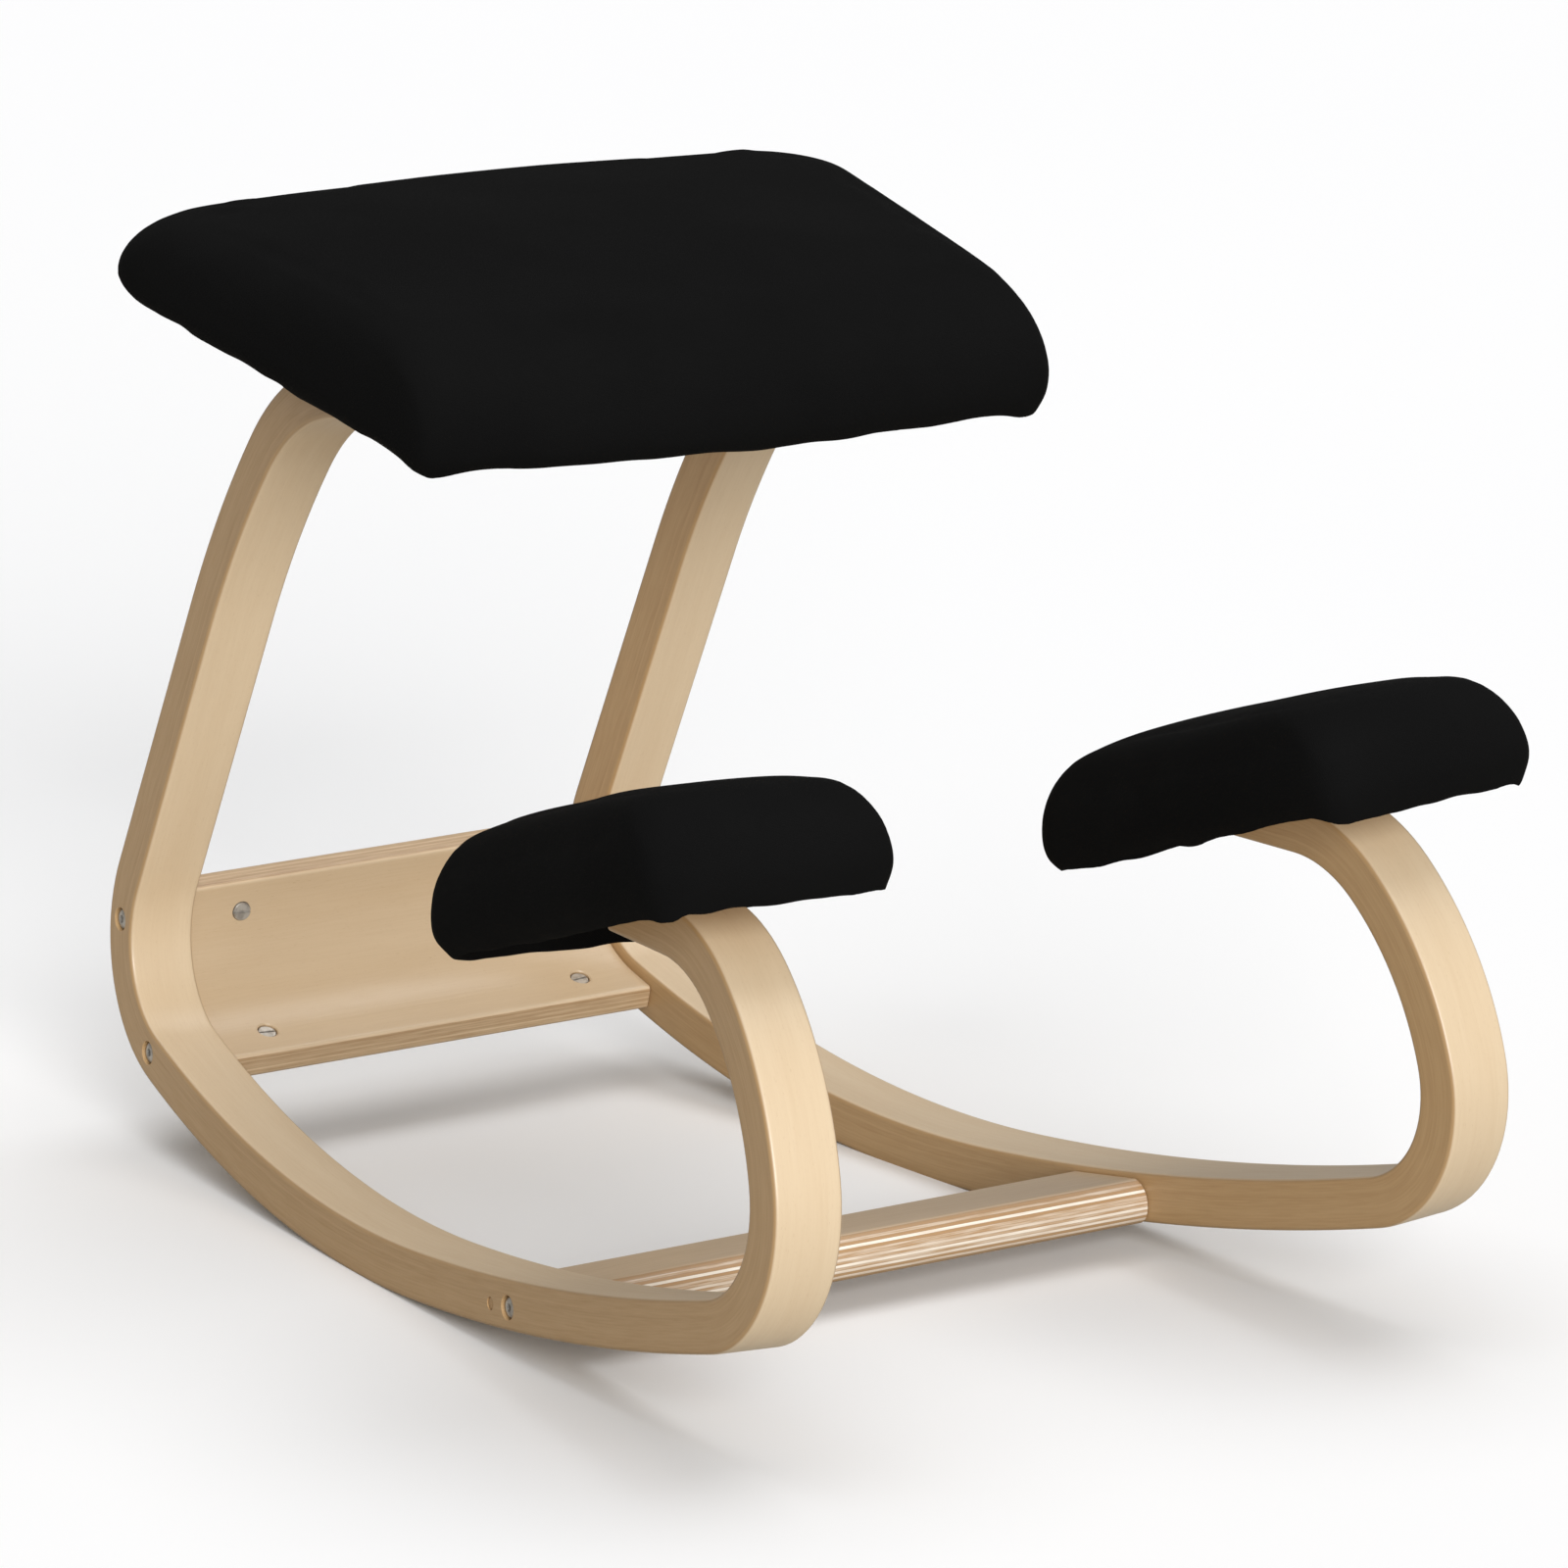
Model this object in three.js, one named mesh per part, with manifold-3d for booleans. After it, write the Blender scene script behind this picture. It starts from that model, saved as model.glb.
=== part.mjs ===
// Kneeling chair: two bent laminated runners that rock on the floor, a cushioned seat on their rear
// ends, a cushioned knee rest on each front end, a bent panel and a crossbar between them.
// Millimetres, +Z up, -Y is the front that the sitter faces, +X is the sitter's left.
// The origin is on the floor, at the middle of the chair.

import * as THREE from 'three';
import { mergeVertices } from 'three/addons/utils/BufferGeometryUtils.js';
import Module from 'manifold-3d';

const wasm = await Module();
wasm.setup();

const DEGREE = Math.PI / 180;

// Clearances shared by all joints
const SEAT_GAP = 0.3;
const OVERRUN = 4;
const FLATNESS = 0.16;

// Laminated strip that both runners are made of
const STRIP_WIDTH = 36;
const STRIP_THICKNESS = 26;
const STRIP_CHAMFER = 1.6;

// How the two runners stand: the rear legs are parallel, and each runner is turned about its leg
const LEG_HALF_SPACING = 140.7;
const LEG_LEAN = 27.3 * DEGREE;
const SPLAY = 4.93 * DEGREE;
const LAND_PLANING = 0.5;
const RAIL_PLANING = 0.8;

// Middle line of a runner, from the rocker's lowest point forwards to the knee rest
const ROCKER_BOTTOM_RADIUS = 748;
const ROCKER_BOTTOM_FRONT_TURN = 5 * DEGREE;
const ROCKER_FRONT_RADIUS = 1680;
const ROCKER_FRONT_TURN = 10.47 * DEGREE;
const FRONT_BEND_RADIUS = 66.2;
const FRONT_BEND_TURN = 88.84 * DEGREE;
const CURL_RADIUS = 154;
const CURL_TURN = 35.8 * DEGREE;
const KNEE_BEND_RADIUS = 80.6;
const KNEE_BEND_TURN = 40.6 * DEGREE;
const KNEE_RAIL_LENGTH = 54;

// Middle line of a runner, from the rocker's lowest point rearwards to the seat
const ROCKER_BOTTOM_REAR_TURN = 6.24 * DEGREE;
const ROCKER_REAR_RADIUS = 703;
const ROCKER_REAR_TURN = 13.12 * DEGREE;
const REAR_BEND_RADIUS = 61.4;
const REAR_BEND_TURN = 79.58 * DEGREE;
const HEEL_RADIUS = 76.5;
const HEEL_TURN = 18.35 * DEGREE;
const LEG_LENGTH = 175;
const LEG_BOW_RADIUS = 518;
const LEG_BOW_TURN = 12.7 * DEGREE;
const TOP_BEND_RADIUS = 131;
const TOP_BEND_TURN = 57.8 * DEGREE;
const SEAT_RAIL_LENGTH = 60;

// Rear panel of bent plywood, placed by its distance along the middle line
const PANEL_THICKNESS = 14;
const PANEL_CHAMFER = 1.2;
const PANEL_LENGTH = 119;
const PANEL_BEFORE_BEND = 18;
const PANEL_BOLT_FROM_TOP = 18;
const PANEL_BOLT_FROM_BOTTOM = 23;

// Front crossbar of stacked plywood, with a rounded front face
const CROSSBAR_DISTANCE = 167;
const CROSSBAR_DEPTH = 58;
const CROSSBAR_THICKNESS = 23;
const CROSSBAR_NOSE = 9;
const CROSSBAR_CHAMFER = 1.2;
const DOWEL_FROM_BOLT = 18;

// Furniture bolts with a low round head and a hexagon socket
const BOLT_DIAMETER = 6;
const BOLT_HOLE_DIAMETER = 6.8;
const HEAD_DIAMETER = 11;
const HEAD_HEIGHT = 4.2;
const HEAD_EDGE = 0.6;
const HEAD_HOLE_DIAMETER = 12;
const SIDE_HEAD_DEPTH = 5;
const SOCKET_ACROSS_FLATS = 4;
const SOCKET_DEPTH = 2.4;
const BOLT_PAST_NUT = 2;

// Barrel nuts, in cross holes of the panel and the crossbar
const NUT_DIAMETER = 10;
const NUT_HOLE_DIAMETER = 10.6;
const NUT_FROM_FACE = 32;
const PANEL_NUT_LENGTH = 12;
const CROSSBAR_NUT_LENGTH = 13;
const NUT_SLOT_WIDTH = 1.2;
const NUT_SLOT_DEPTH = 1;
const CROSSBAR_NUT_HOLE_DEPTH = 18;

// Wooden dowels that keep the crossbar from turning
const DOWEL_DIAMETER = 6;
const DOWEL_HOLE_DIAMETER = 6.6;
const DOWEL_IN_BAR = 22;
const DOWEL_SUNK = 0.5;

// Boards inside the cushions, and the tee nuts let into them
const BOARD_THICKNESS = 12;
const BOARD_CHAMFER = 1;
const TEE_FLANGE_DIAMETER = 19;
const TEE_FLANGE_THICKNESS = 1.5;
const TEE_BARREL_DIAMETER = 8.4;
const TEE_LENGTH = 9;
const TEE_SUNK = 0.3;
const RAIL_BOLT_GRIP = 17;
const KNEE_BOLT_GRIP = 6;
const BOLT_BELOW_TEE_TOP = 1;
const RAIL_BOLT_SPACING = 34;
const RAIL_BOLT_FROM_END = 13;
const KNEE_BOLT_SPACING = 26;
const KNEE_BOLT_FROM_END = 19;

// Seat cushion and its board: heights from the board's underside, which lies on the rails
const SEAT_BOARD_BEYOND_RAILS = 1;
const SEAT_BOARD_AHEAD_OF_RAIL_END = 14;
const SEAT_BOARD_DEPTH = 250;
const SEAT_FOAM_BESIDE_BOARD = 12;
const SEAT_FOAM_AHEAD_OF_BOARD = 20;
const SEAT_FOAM_BEHIND_BOARD = 18;
const SEAT_WIDENING = 66;
const SEAT_FRONT_BOW = 18;
const SEAT_REAR_BOW = 17;
const SEAT_FRONT_SKIRT = 17;
const SEAT_REAR_SKIRT = 1;
const SEAT_TOP_HEIGHT = 39;
const SEAT_CROWN = 8;
const SEAT_FRONT_CORNER = 14;
const SEAT_REAR_CORNER = 50;
const SEAT_SIDE_ROUNDING = 50;
const SEAT_FRONT_ROUNDING = 66;
const SEAT_REAR_ROUNDING = 49;
const SEAT_HEM_DRAW_IN = 8;
const SEAT_BULGE_HEIGHT = 10;

// Knee cushions and their boards, measured alike
const KNEE_SLOPE = 18.3 * DEGREE;
const KNEE_RAIL_BEVEL_DEPTH = 0.8;
const KNEE_BOARD_AHEAD_OF_BEND = 76;
const KNEE_BOARD_WIDTH = 116;
const KNEE_BOARD_LENGTH = 212;
const KNEE_FOAM_BESIDE_BOARD = 9;
const KNEE_FOAM_AHEAD_OF_BOARD = 12;
const KNEE_FOAM_BEHIND_BOARD = 12;
const KNEE_FRONT_BOW = 8;
const KNEE_REAR_BOW = 9;
const KNEE_FRONT_SKIRT = 8;
const KNEE_REAR_SKIRT = 10;
const KNEE_TOP_HEIGHT = 45;
const KNEE_CROWN = 4;
const KNEE_CORNER = 14;
const KNEE_SIDE_ROUNDING = 33;
const KNEE_FRONT_ROUNDING = 40;
const KNEE_REAR_ROUNDING = 41;
const KNEE_HEM_DRAW_IN = 5;
const KNEE_BULGE_HEIGHT = 17;

// Room between a board and the cushion that wraps it
const POCKET_CLEARANCE = 0.6;

// How finely round shapes are cut into flats
const ROUND_SEGMENTS = 12;
const CORNER_SEGMENTS = 5;
const EDGE_SEGMENTS = 7;
const ROUNDING_SEGMENTS = 4;

// Shares of the outline's size at which the crown's rings lie, and the shares of the crown's height
const CROWN_SIZE_SHARES = [0.88, 0.7, 0.45, 0.2];
const BULGE_SHARES = [0, 0.35, 0.7, 1];

// How much rounder a cushion's corners get, as a share of the inset
const CORNER_GROWTH_SHARE = 0.3;

const birch = material('#d9c29f', 0.45, 0);
const plywood = material('#cdb48e', 0.5, 0);
const beech = material('#c9a877', 0.6, 0);
const fabric = material('#141416', 0.95, 0);
const steel = material('#b9bbbd', 0.35, 0.9);

function material(color, roughness, metalness) {
  return new THREE.MeshStandardMaterial({ color, roughness, metalness });
}

// Solids

// A closed surface through rings of points, each end closed by a fan about the ring's middle.
function loft(rings) {
  const count = rings[0].length;
  const points = rings.flat();
  const triangles = [];
  for (let ring = 0; ring + 1 < rings.length; ring += 1) {
    for (let i = 0; i < count; i += 1) {
      const a = ring * count + i;
      const b = ring * count + ((i + 1) % count);
      triangles.push(a, b, b + count, a, b + count, a + count);
    }
  }
  for (const end of [0, rings.length - 1]) {
    const middle = points.length;
    points.push(middleOf(rings[end]));
    for (let i = 0; i < count; i += 1) {
      const a = end * count + i;
      const b = end * count + ((i + 1) % count);
      triangles.push(middle, ...(end === 0 ? [b, a] : [a, b]));
    }
  }
  if (volumeOf(points, triangles) < 0) {
    triangles.reverse();
  }
  const geometry = new THREE.BufferGeometry().setFromPoints(points);
  geometry.setIndex(triangles);
  return geometry;
}

function middleOf(points) {
  const middle = new THREE.Vector3();
  for (const point of points) {
    middle.addScaledVector(point, 1 / points.length);
  }
  return middle;
}

function volumeOf(points, triangles) {
  let sum = 0;
  for (let i = 0; i < triangles.length; i += 3) {
    const [a, b, c] = [points[triangles[i]], points[triangles[i + 1]], points[triangles[i + 2]]];
    sum += a.dot(new THREE.Vector3().crossVectors(b, c));
  }
  return sum;
}

function solidOf(geometry) {
  const bare = new THREE.BufferGeometry();
  bare.setAttribute('position', geometry.getAttribute('position'));
  bare.setIndex(geometry.getIndex());
  const merged = mergeVertices(bare);
  return new wasm.Manifold(new wasm.Mesh({
    numProp: 3,
    vertProperties: new Float32Array(merged.getAttribute('position').array),
    triVerts: new Uint32Array(merged.getIndex().array),
  }));
}

function geometryOf(solid) {
  const mesh = solid.getMesh();
  const geometry = new THREE.BufferGeometry();
  geometry.setAttribute('position', new THREE.BufferAttribute(mesh.vertProperties, 3));
  geometry.setIndex(new THREE.BufferAttribute(mesh.triVerts, 1));
  return geometry;
}

function cut(geometry, cutters) {
  let solid = solidOf(geometry);
  for (const cutter of cutters) {
    solid = solid.subtract(solidOf(cutter));
  }
  return geometryOf(solid);
}

// A round bar along +Z between two heights.
function roundBar(diameter, bottom, top, segments = ROUND_SEGMENTS) {
  const bar = new THREE.CylinderGeometry(diameter / 2, diameter / 2, top - bottom, segments);
  bar.rotateX(Math.PI / 2);
  bar.translate(0, 0, (top + bottom) / 2);
  return bar;
}

// A slab whose top face is the plane z = 0, wide enough to plane away what stands below it.
function planingSlab(size) {
  const slab = new THREE.BoxGeometry(size, size, size);
  slab.translate(0, 0, -size / 2);
  return slab;
}

// Takes a shape that stands along +Z to a place, along a direction.
function standAlong(origin, direction) {
  const turn = new THREE.Quaternion().setFromUnitVectors(new THREE.Vector3(0, 0, 1), direction);
  return new THREE.Matrix4().compose(origin, turn, new THREE.Vector3(1, 1, 1));
}

// The matrix from places in one group to places in another.
function between(from, to) {
  return to.matrixWorld.clone().invert().multiply(from.matrixWorld);
}

function group(parent, position, quaternion) {
  const child = new THREE.Group();
  child.position.copy(position);
  child.quaternion.copy(quaternion);
  parent.add(child);
  child.updateWorldMatrix(true, false);
  return child;
}

function addMesh(parent, name, geometry, finish, placement) {
  const mesh = new THREE.Mesh(geometry, finish);
  mesh.name = name;
  if (placement) {
    placement.decompose(mesh.position, mesh.quaternion, mesh.scale);
  }
  geometry.computeVertexNormals();
  parent.add(mesh);
  return mesh;
}

// Middle lines

// A line in a runner's plane, of arcs and straights that follow each other. Places are (y, z), and
// the heading's angle is measured from +Y towards +Z. A turn is positive from +Y towards +Z.
function middleLine(heading, stretches) {
  const ends = [];
  let point = new THREE.Vector2();
  let angle = heading;
  let distance = 0;
  for (const stretch of stretches) {
    const length = stretch.length ?? stretch.radius * Math.abs(stretch.turn);
    const piece = { ...stretch, length, point, angle, distance };
    ends.push(piece);
    point = along(piece, length).point;
    angle += stretch.turn ?? 0;
    distance += length;
  }
  return { pieces: ends, length: distance };
}

// The point and the heading at a distance from a stretch's start.
function along(piece, distance) {
  const turn = piece.turn ?? 0;
  const start = new THREE.Vector2(Math.cos(piece.angle), Math.sin(piece.angle));
  if (turn === 0) {
    return { point: piece.point.clone().addScaledVector(start, distance), angle: piece.angle };
  }
  const side = Math.sign(turn);
  const angle = piece.angle + (side * distance) / piece.radius;
  const centre = piece.point.clone().addScaledVector(leftOf(piece.angle), side * piece.radius);
  const point = centre.addScaledVector(leftOf(angle), -side * piece.radius);
  return { point, angle };
}

function leftOf(angle) {
  return new THREE.Vector2(-Math.sin(angle), Math.cos(angle));
}

// The point and heading at a distance along a whole line.
function at(line, distance) {
  const inside = line.pieces.filter((piece) => piece.distance <= distance);
  const piece = inside[inside.length - 1];
  return along(piece, distance - piece.distance);
}

// Distances along a line that keep its flats within FLATNESS of the outer side of each bend.
function samples(line, from, to) {
  const distances = [from];
  for (const piece of line.pieces) {
    const turn = Math.abs(piece.turn ?? 0);
    const outer = (piece.radius ?? 0) + STRIP_THICKNESS / 2;
    const steps = turn > 0 ? Math.ceil(turn / (2 * Math.acos(1 - FLATNESS / outer))) : 1;
    for (let step = 1; step <= steps; step += 1) {
      const distance = piece.distance + (piece.length * step) / steps;
      if (distance > from && distance < to) {
        distances.push(distance);
      }
    }
  }
  distances.push(to);
  return distances;
}

// In a runner's plane the front is towards -Y. The front part of the line turns from -Y upwards and
// back, and the rear part from +Y upwards and forwards.
const frontLine = middleLine(Math.PI, [
  { radius: ROCKER_BOTTOM_RADIUS, turn: -ROCKER_BOTTOM_FRONT_TURN },
  { radius: ROCKER_FRONT_RADIUS, turn: -ROCKER_FRONT_TURN },
  { radius: FRONT_BEND_RADIUS, turn: -FRONT_BEND_TURN },
  { radius: CURL_RADIUS, turn: -CURL_TURN },
  { radius: KNEE_BEND_RADIUS, turn: -KNEE_BEND_TURN },
  { length: KNEE_RAIL_LENGTH },
]);
const rearLine = middleLine(0, [
  { radius: ROCKER_BOTTOM_RADIUS, turn: ROCKER_BOTTOM_REAR_TURN },
  { radius: ROCKER_REAR_RADIUS, turn: ROCKER_REAR_TURN },
  { radius: REAR_BEND_RADIUS, turn: REAR_BEND_TURN },
  { radius: HEEL_RADIUS, turn: HEEL_TURN },
  { length: LEG_LENGTH },
  { radius: LEG_BOW_RADIUS, turn: LEG_BOW_TURN },
  { radius: TOP_BEND_RADIUS, turn: TOP_BEND_TURN },
  { length: SEAT_RAIL_LENGTH },
]);
const rearBend = rearLine.pieces[2];
const leg = rearLine.pieces[4];

// A point of a runner's plane: a distance along a line, a distance from it towards the inside of its
// bends, and a distance to the side.
function inRunner(line, distance, inward, lateral) {
  const { point, angle } = at(line, distance);
  const side = line === rearLine ? 1 : -1;
  point.addScaledVector(leftOf(angle), side * inward);
  return new THREE.Vector3(lateral, point.x, point.y);
}

// The direction of a line at a distance, and the direction to the inside of its bends.
function headingAt(line, distance) {
  const { angle } = at(line, distance);
  return new THREE.Vector3(0, Math.cos(angle), Math.sin(angle));
}

function inwardAt(line, distance) {
  const { angle } = at(line, distance);
  const left = leftOf(angle).multiplyScalar(line === rearLine ? 1 : -1);
  return new THREE.Vector3(0, left.x, left.y);
}

// The corners of a bar's section with chamfered edges, as pairs of half widths and half thicknesses.
function chamferedCorners(width, thickness, chamfer) {
  const [w, t] = [width / 2, thickness / 2];
  return [
    [w - chamfer, -t], [w, chamfer - t], [w, t - chamfer], [w - chamfer, t],
    [chamfer - w, t], [-w, t - chamfer], [-w, chamfer - t], [chamfer - w, -t],
  ];
}

// Frames: the chair, and one group for each runner, turned about its own leg

const chair = new THREE.Group();
const noTurn = new THREE.Quaternion();
const legDirection = headingAt(rearLine, leg.distance);
const legFoot = inRunner(rearLine, leg.distance, 0, 0);

function runnerFrame(side) {
  const turn = new THREE.Quaternion().setFromAxisAngle(legDirection, side * SPLAY);
  const place = legFoot.clone().setX(side * LEG_HALF_SPACING);
  const turned = group(chair, place, turn);
  return group(turned, legFoot.clone().negate(), noTurn);
}

const sides = [
  { name: 'left', side: 1, frame: runnerFrame(1) },
  { name: 'right', side: -1, frame: runnerFrame(-1) },
];

function inChair(frame, point) {
  return point.clone().applyMatrix4(frame.matrixWorld);
}

// The seat's frame lies on the planed rails: its plane z = 0 is the underside of the seat's board.
const railStart = rearLine.length - SEAT_RAIL_LENGTH;
const railTop = STRIP_THICKNESS / 2;
const railTopRear = inChair(sides[0].frame, inRunner(rearLine, railStart, -railTop, 0));
const railTopFront = inChair(sides[0].frame, inRunner(rearLine, rearLine.length, -railTop, 0));
const seatRise = railTopRear.clone().sub(railTopFront);
const seatSlope = Math.atan2(seatRise.z, seatRise.y);
const seatTurn = new THREE.Quaternion().setFromAxisAngle(new THREE.Vector3(1, 0, 0), seatSlope);
const seatUp = new THREE.Vector3(0, 0, 1).applyQuaternion(seatTurn);
const seatPlace = railTopFront.clone().setX(0).addScaledVector(seatUp, SEAT_GAP - RAIL_PLANING);
const seatFrame = group(chair, seatPlace, seatTurn);

// The seat's board reaches past the outer edges of both rails.
const railReach = Math.max(...[-railTop, railTop].map((inward) => (
  inChair(sides[0].frame, inRunner(rearLine, rearLine.length, inward, STRIP_WIDTH / 2)).x
)));
const seatBoardWidth = 2 * (railReach + SEAT_BOARD_BEYOND_RAILS);

// A knee rest's frame lies on the bevelled end of its runner, with z = 0 at its board's underside.
const kneeRailStart = frontLine.length - KNEE_RAIL_LENGTH;
const kneeTurn = new THREE.Quaternion().setFromAxisAngle(new THREE.Vector3(1, 0, 0), -KNEE_SLOPE);
const kneeUp = new THREE.Vector3(0, 0, 1).applyQuaternion(kneeTurn);
const kneePlace = inRunner(frontLine, kneeRailStart, -STRIP_THICKNESS / 2, 0)
  .addScaledVector(kneeUp, SEAT_GAP - KNEE_RAIL_BEVEL_DEPTH);
for (const each of sides) {
  each.knee = group(each.frame, kneePlace, kneeTurn);
}

// Where the floor lies below the leaning rockers: a narrow land is planed level across each of them.
const leanDrop = STRIP_WIDTH * Math.sin(SPLAY) * Math.sin(LEG_LEAN);
const rockerInnerEdge = inRunner(frontLine, 0, -STRIP_THICKNESS / 2, -STRIP_WIDTH / 2);
const floorHeight = inChair(sides[0].frame, rockerInnerEdge).z + leanDrop + LAND_PLANING;

// Bolts, nuts and dowels

// A bolt whose head's underside is at z = 0, the head below it and the shank above it.
function bolt(length) {
  const profile = [
    [0, -HEAD_HEIGHT], [HEAD_DIAMETER / 2 - HEAD_EDGE, -HEAD_HEIGHT],
    [HEAD_DIAMETER / 2, HEAD_EDGE - HEAD_HEIGHT], [HEAD_DIAMETER / 2, 0],
    [BOLT_DIAMETER / 2, 0], [BOLT_DIAMETER / 2, length - HEAD_EDGE],
    [BOLT_DIAMETER / 2 - HEAD_EDGE, length], [0, length],
  ];
  const body = turned(profile);
  const socketDiameter = SOCKET_ACROSS_FLATS / Math.cos(Math.PI / 6);
  return cut(body, [roundBar(socketDiameter, -HEAD_HEIGHT - OVERRUN, SOCKET_DEPTH - HEAD_HEIGHT, 6)]);
}

// A body turned about +Z, from pairs of radius and height.
function turned(profile) {
  const points = profile.map(([radius, height]) => new THREE.Vector2(radius, height));
  const body = new THREE.LatheGeometry(points, ROUND_SEGMENTS);
  body.rotateX(Math.PI / 2);
  return body;
}

// A barrel nut along +Z, slotted at its top, with its cross hole for a bolt along X at z = 0.
function barrelNut(length, holeHeight) {
  const bottom = -holeHeight;
  const top = length - holeHeight;
  const body = roundBar(NUT_DIAMETER, bottom, top);
  const hole = roundBar(BOLT_HOLE_DIAMETER, -NUT_DIAMETER, NUT_DIAMETER).rotateY(Math.PI / 2);
  const slot = new THREE.BoxGeometry(NUT_DIAMETER + OVERRUN, NUT_SLOT_WIDTH, NUT_SLOT_DEPTH * 2);
  slot.translate(0, 0, top);
  return cut(body, [hole, slot]);
}

// A tee nut with its flange's top at z = 0 and its barrel below.
function teeNut() {
  const bore = BOLT_HOLE_DIAMETER / 2;
  return turned([
    [bore, 0], [bore, -TEE_LENGTH], [TEE_BARREL_DIAMETER / 2, -TEE_LENGTH],
    [TEE_BARREL_DIAMETER / 2, -TEE_FLANGE_THICKNESS],
    [TEE_FLANGE_DIAMETER / 2, -TEE_FLANGE_THICKNESS], [TEE_FLANGE_DIAMETER / 2, 0], [bore, 0],
  ]);
}

// Places of the side bolts in a runner's frame, each with its length and the lateral place of its
// head's seat. A side bolt runs inwards, square to the runner.
const panelStart = rearBend.distance - PANEL_BEFORE_BEND;
const panelEnd = panelStart + PANEL_LENGTH;
const panelBoltDistances = {
  lower: panelStart + PANEL_BOLT_FROM_BOTTOM,
  upper: panelEnd - PANEL_BOLT_FROM_TOP,
};
const crossbarDrop = (STRIP_THICKNESS - CROSSBAR_THICKNESS) / 2;
const innerFace = STRIP_WIDTH / 2;
const headSeat = STRIP_WIDTH / 2 - SIDE_HEAD_DEPTH;
const sideBoltLength = headSeat + innerFace + NUT_FROM_FACE + NUT_DIAMETER / 2 + BOLT_PAST_NUT;

// The matrix of a side bolt, with its head's seat at the runner's counterbore.
function sideBoltPlacement(side, line, distance, inward) {
  const inwardX = new THREE.Vector3(-side, 0, 0);
  return standAlong(inRunner(line, distance, inward, side * headSeat), inwardX);
}

// The matrix of a barrel nut, its top towards a direction square to the bolt.
function nutPlacement(side, line, distance, inward, up) {
  const centre = inRunner(line, distance, inward, -side * (innerFace + NUT_FROM_FACE));
  const across = new THREE.Vector3(1, 0, 0);
  const basis = new THREE.Matrix4().makeBasis(across, new THREE.Vector3().crossVectors(up, across), up);
  return basis.setPosition(centre);
}

function sideBoltHoles(placement) {
  const head = roundBar(HEAD_HOLE_DIAMETER, -SIDE_HEAD_DEPTH - OVERRUN, 0).applyMatrix4(placement);
  const shank = roundBar(BOLT_HOLE_DIAMETER, -OVERRUN, sideBoltLength + OVERRUN);
  return [head, shank.applyMatrix4(placement)];
}

// Every side bolt: the two of the panel and the one of the crossbar, for each runner
function sideBoltsOf(side) {
  const bolts = [];
  for (const [place, distance] of Object.entries(panelBoltDistances)) {
    bolts.push({
      name: `panel_${place}`,
      bolt: sideBoltPlacement(side, rearLine, distance, 0),
      nut: nutPlacement(side, rearLine, distance, 0, inwardAt(rearLine, distance)),
      nutLength: PANEL_NUT_LENGTH,
    });
  }
  const down = inwardAt(frontLine, CROSSBAR_DISTANCE).negate();
  bolts.push({
    name: 'crossbar',
    bolt: sideBoltPlacement(side, frontLine, CROSSBAR_DISTANCE, -crossbarDrop),
    nut: nutPlacement(side, frontLine, CROSSBAR_DISTANCE, -crossbarDrop, down),
    nutLength: CROSSBAR_NUT_LENGTH,
  });
  return bolts;
}

// A dowel beside the crossbar's bolt, from just inside the runner's outer face into the bar
function dowelPlacement(side) {
  const distance = CROSSBAR_DISTANCE - DOWEL_FROM_BOLT;
  const outer = inRunner(frontLine, distance, -crossbarDrop, (side * STRIP_WIDTH) / 2);
  return standAlong(outer, new THREE.Vector3(-side, 0, 0));
}

const dowelEnd = STRIP_WIDTH + DOWEL_IN_BAR;

// Board bolts stand square to a board, with their heads in the runner below it and their tee nuts in
// the board. Each list is in the board's frame, the front bolt first.
function seatBoltPoints(each) {
  const toSeat = between(each.frame, seatFrame);
  return [0, RAIL_BOLT_SPACING].map((further) => {
    const distance = rearLine.length - RAIL_BOLT_FROM_END - further;
    return inRunner(rearLine, distance, 0, 0).applyMatrix4(toSeat).setZ(0);
  });
}

function kneeBoltPoints(each) {
  const toKnee = between(each.frame, each.knee);
  return [KNEE_BOLT_SPACING, 0].map((further) => {
    const distance = frontLine.length - KNEE_BOLT_FROM_END - further;
    return inRunner(frontLine, distance, 0, 0).applyMatrix4(toKnee).setZ(0);
  });
}

// The room for a board bolt in the runner: a shank hole and a counterbore that opens downwards.
function boardBoltHoles(point, grip) {
  const shank = roundBar(BOLT_HOLE_DIAMETER, -STRIP_THICKNESS, OVERRUN);
  const head = roundBar(HEAD_HOLE_DIAMETER, -STRIP_THICKNESS * 2, -grip);
  return [shank, head].map((hole) => hole.translate(point.x, point.y, 0));
}

// The room for a tee nut in a board.
function teeNutHoles(point) {
  const flangeBottom = BOARD_THICKNESS - TEE_SUNK - TEE_FLANGE_THICKNESS - SEAT_GAP;
  const flange = roundBar(TEE_FLANGE_DIAMETER + 2 * SEAT_GAP, flangeBottom, BOARD_THICKNESS + OVERRUN);
  const barrel = roundBar(TEE_BARREL_DIAMETER + 2 * SEAT_GAP, -OVERRUN, BOARD_THICKNESS);
  return [flange, barrel].map((hole) => hole.translate(point.x, point.y, 0));
}

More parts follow.
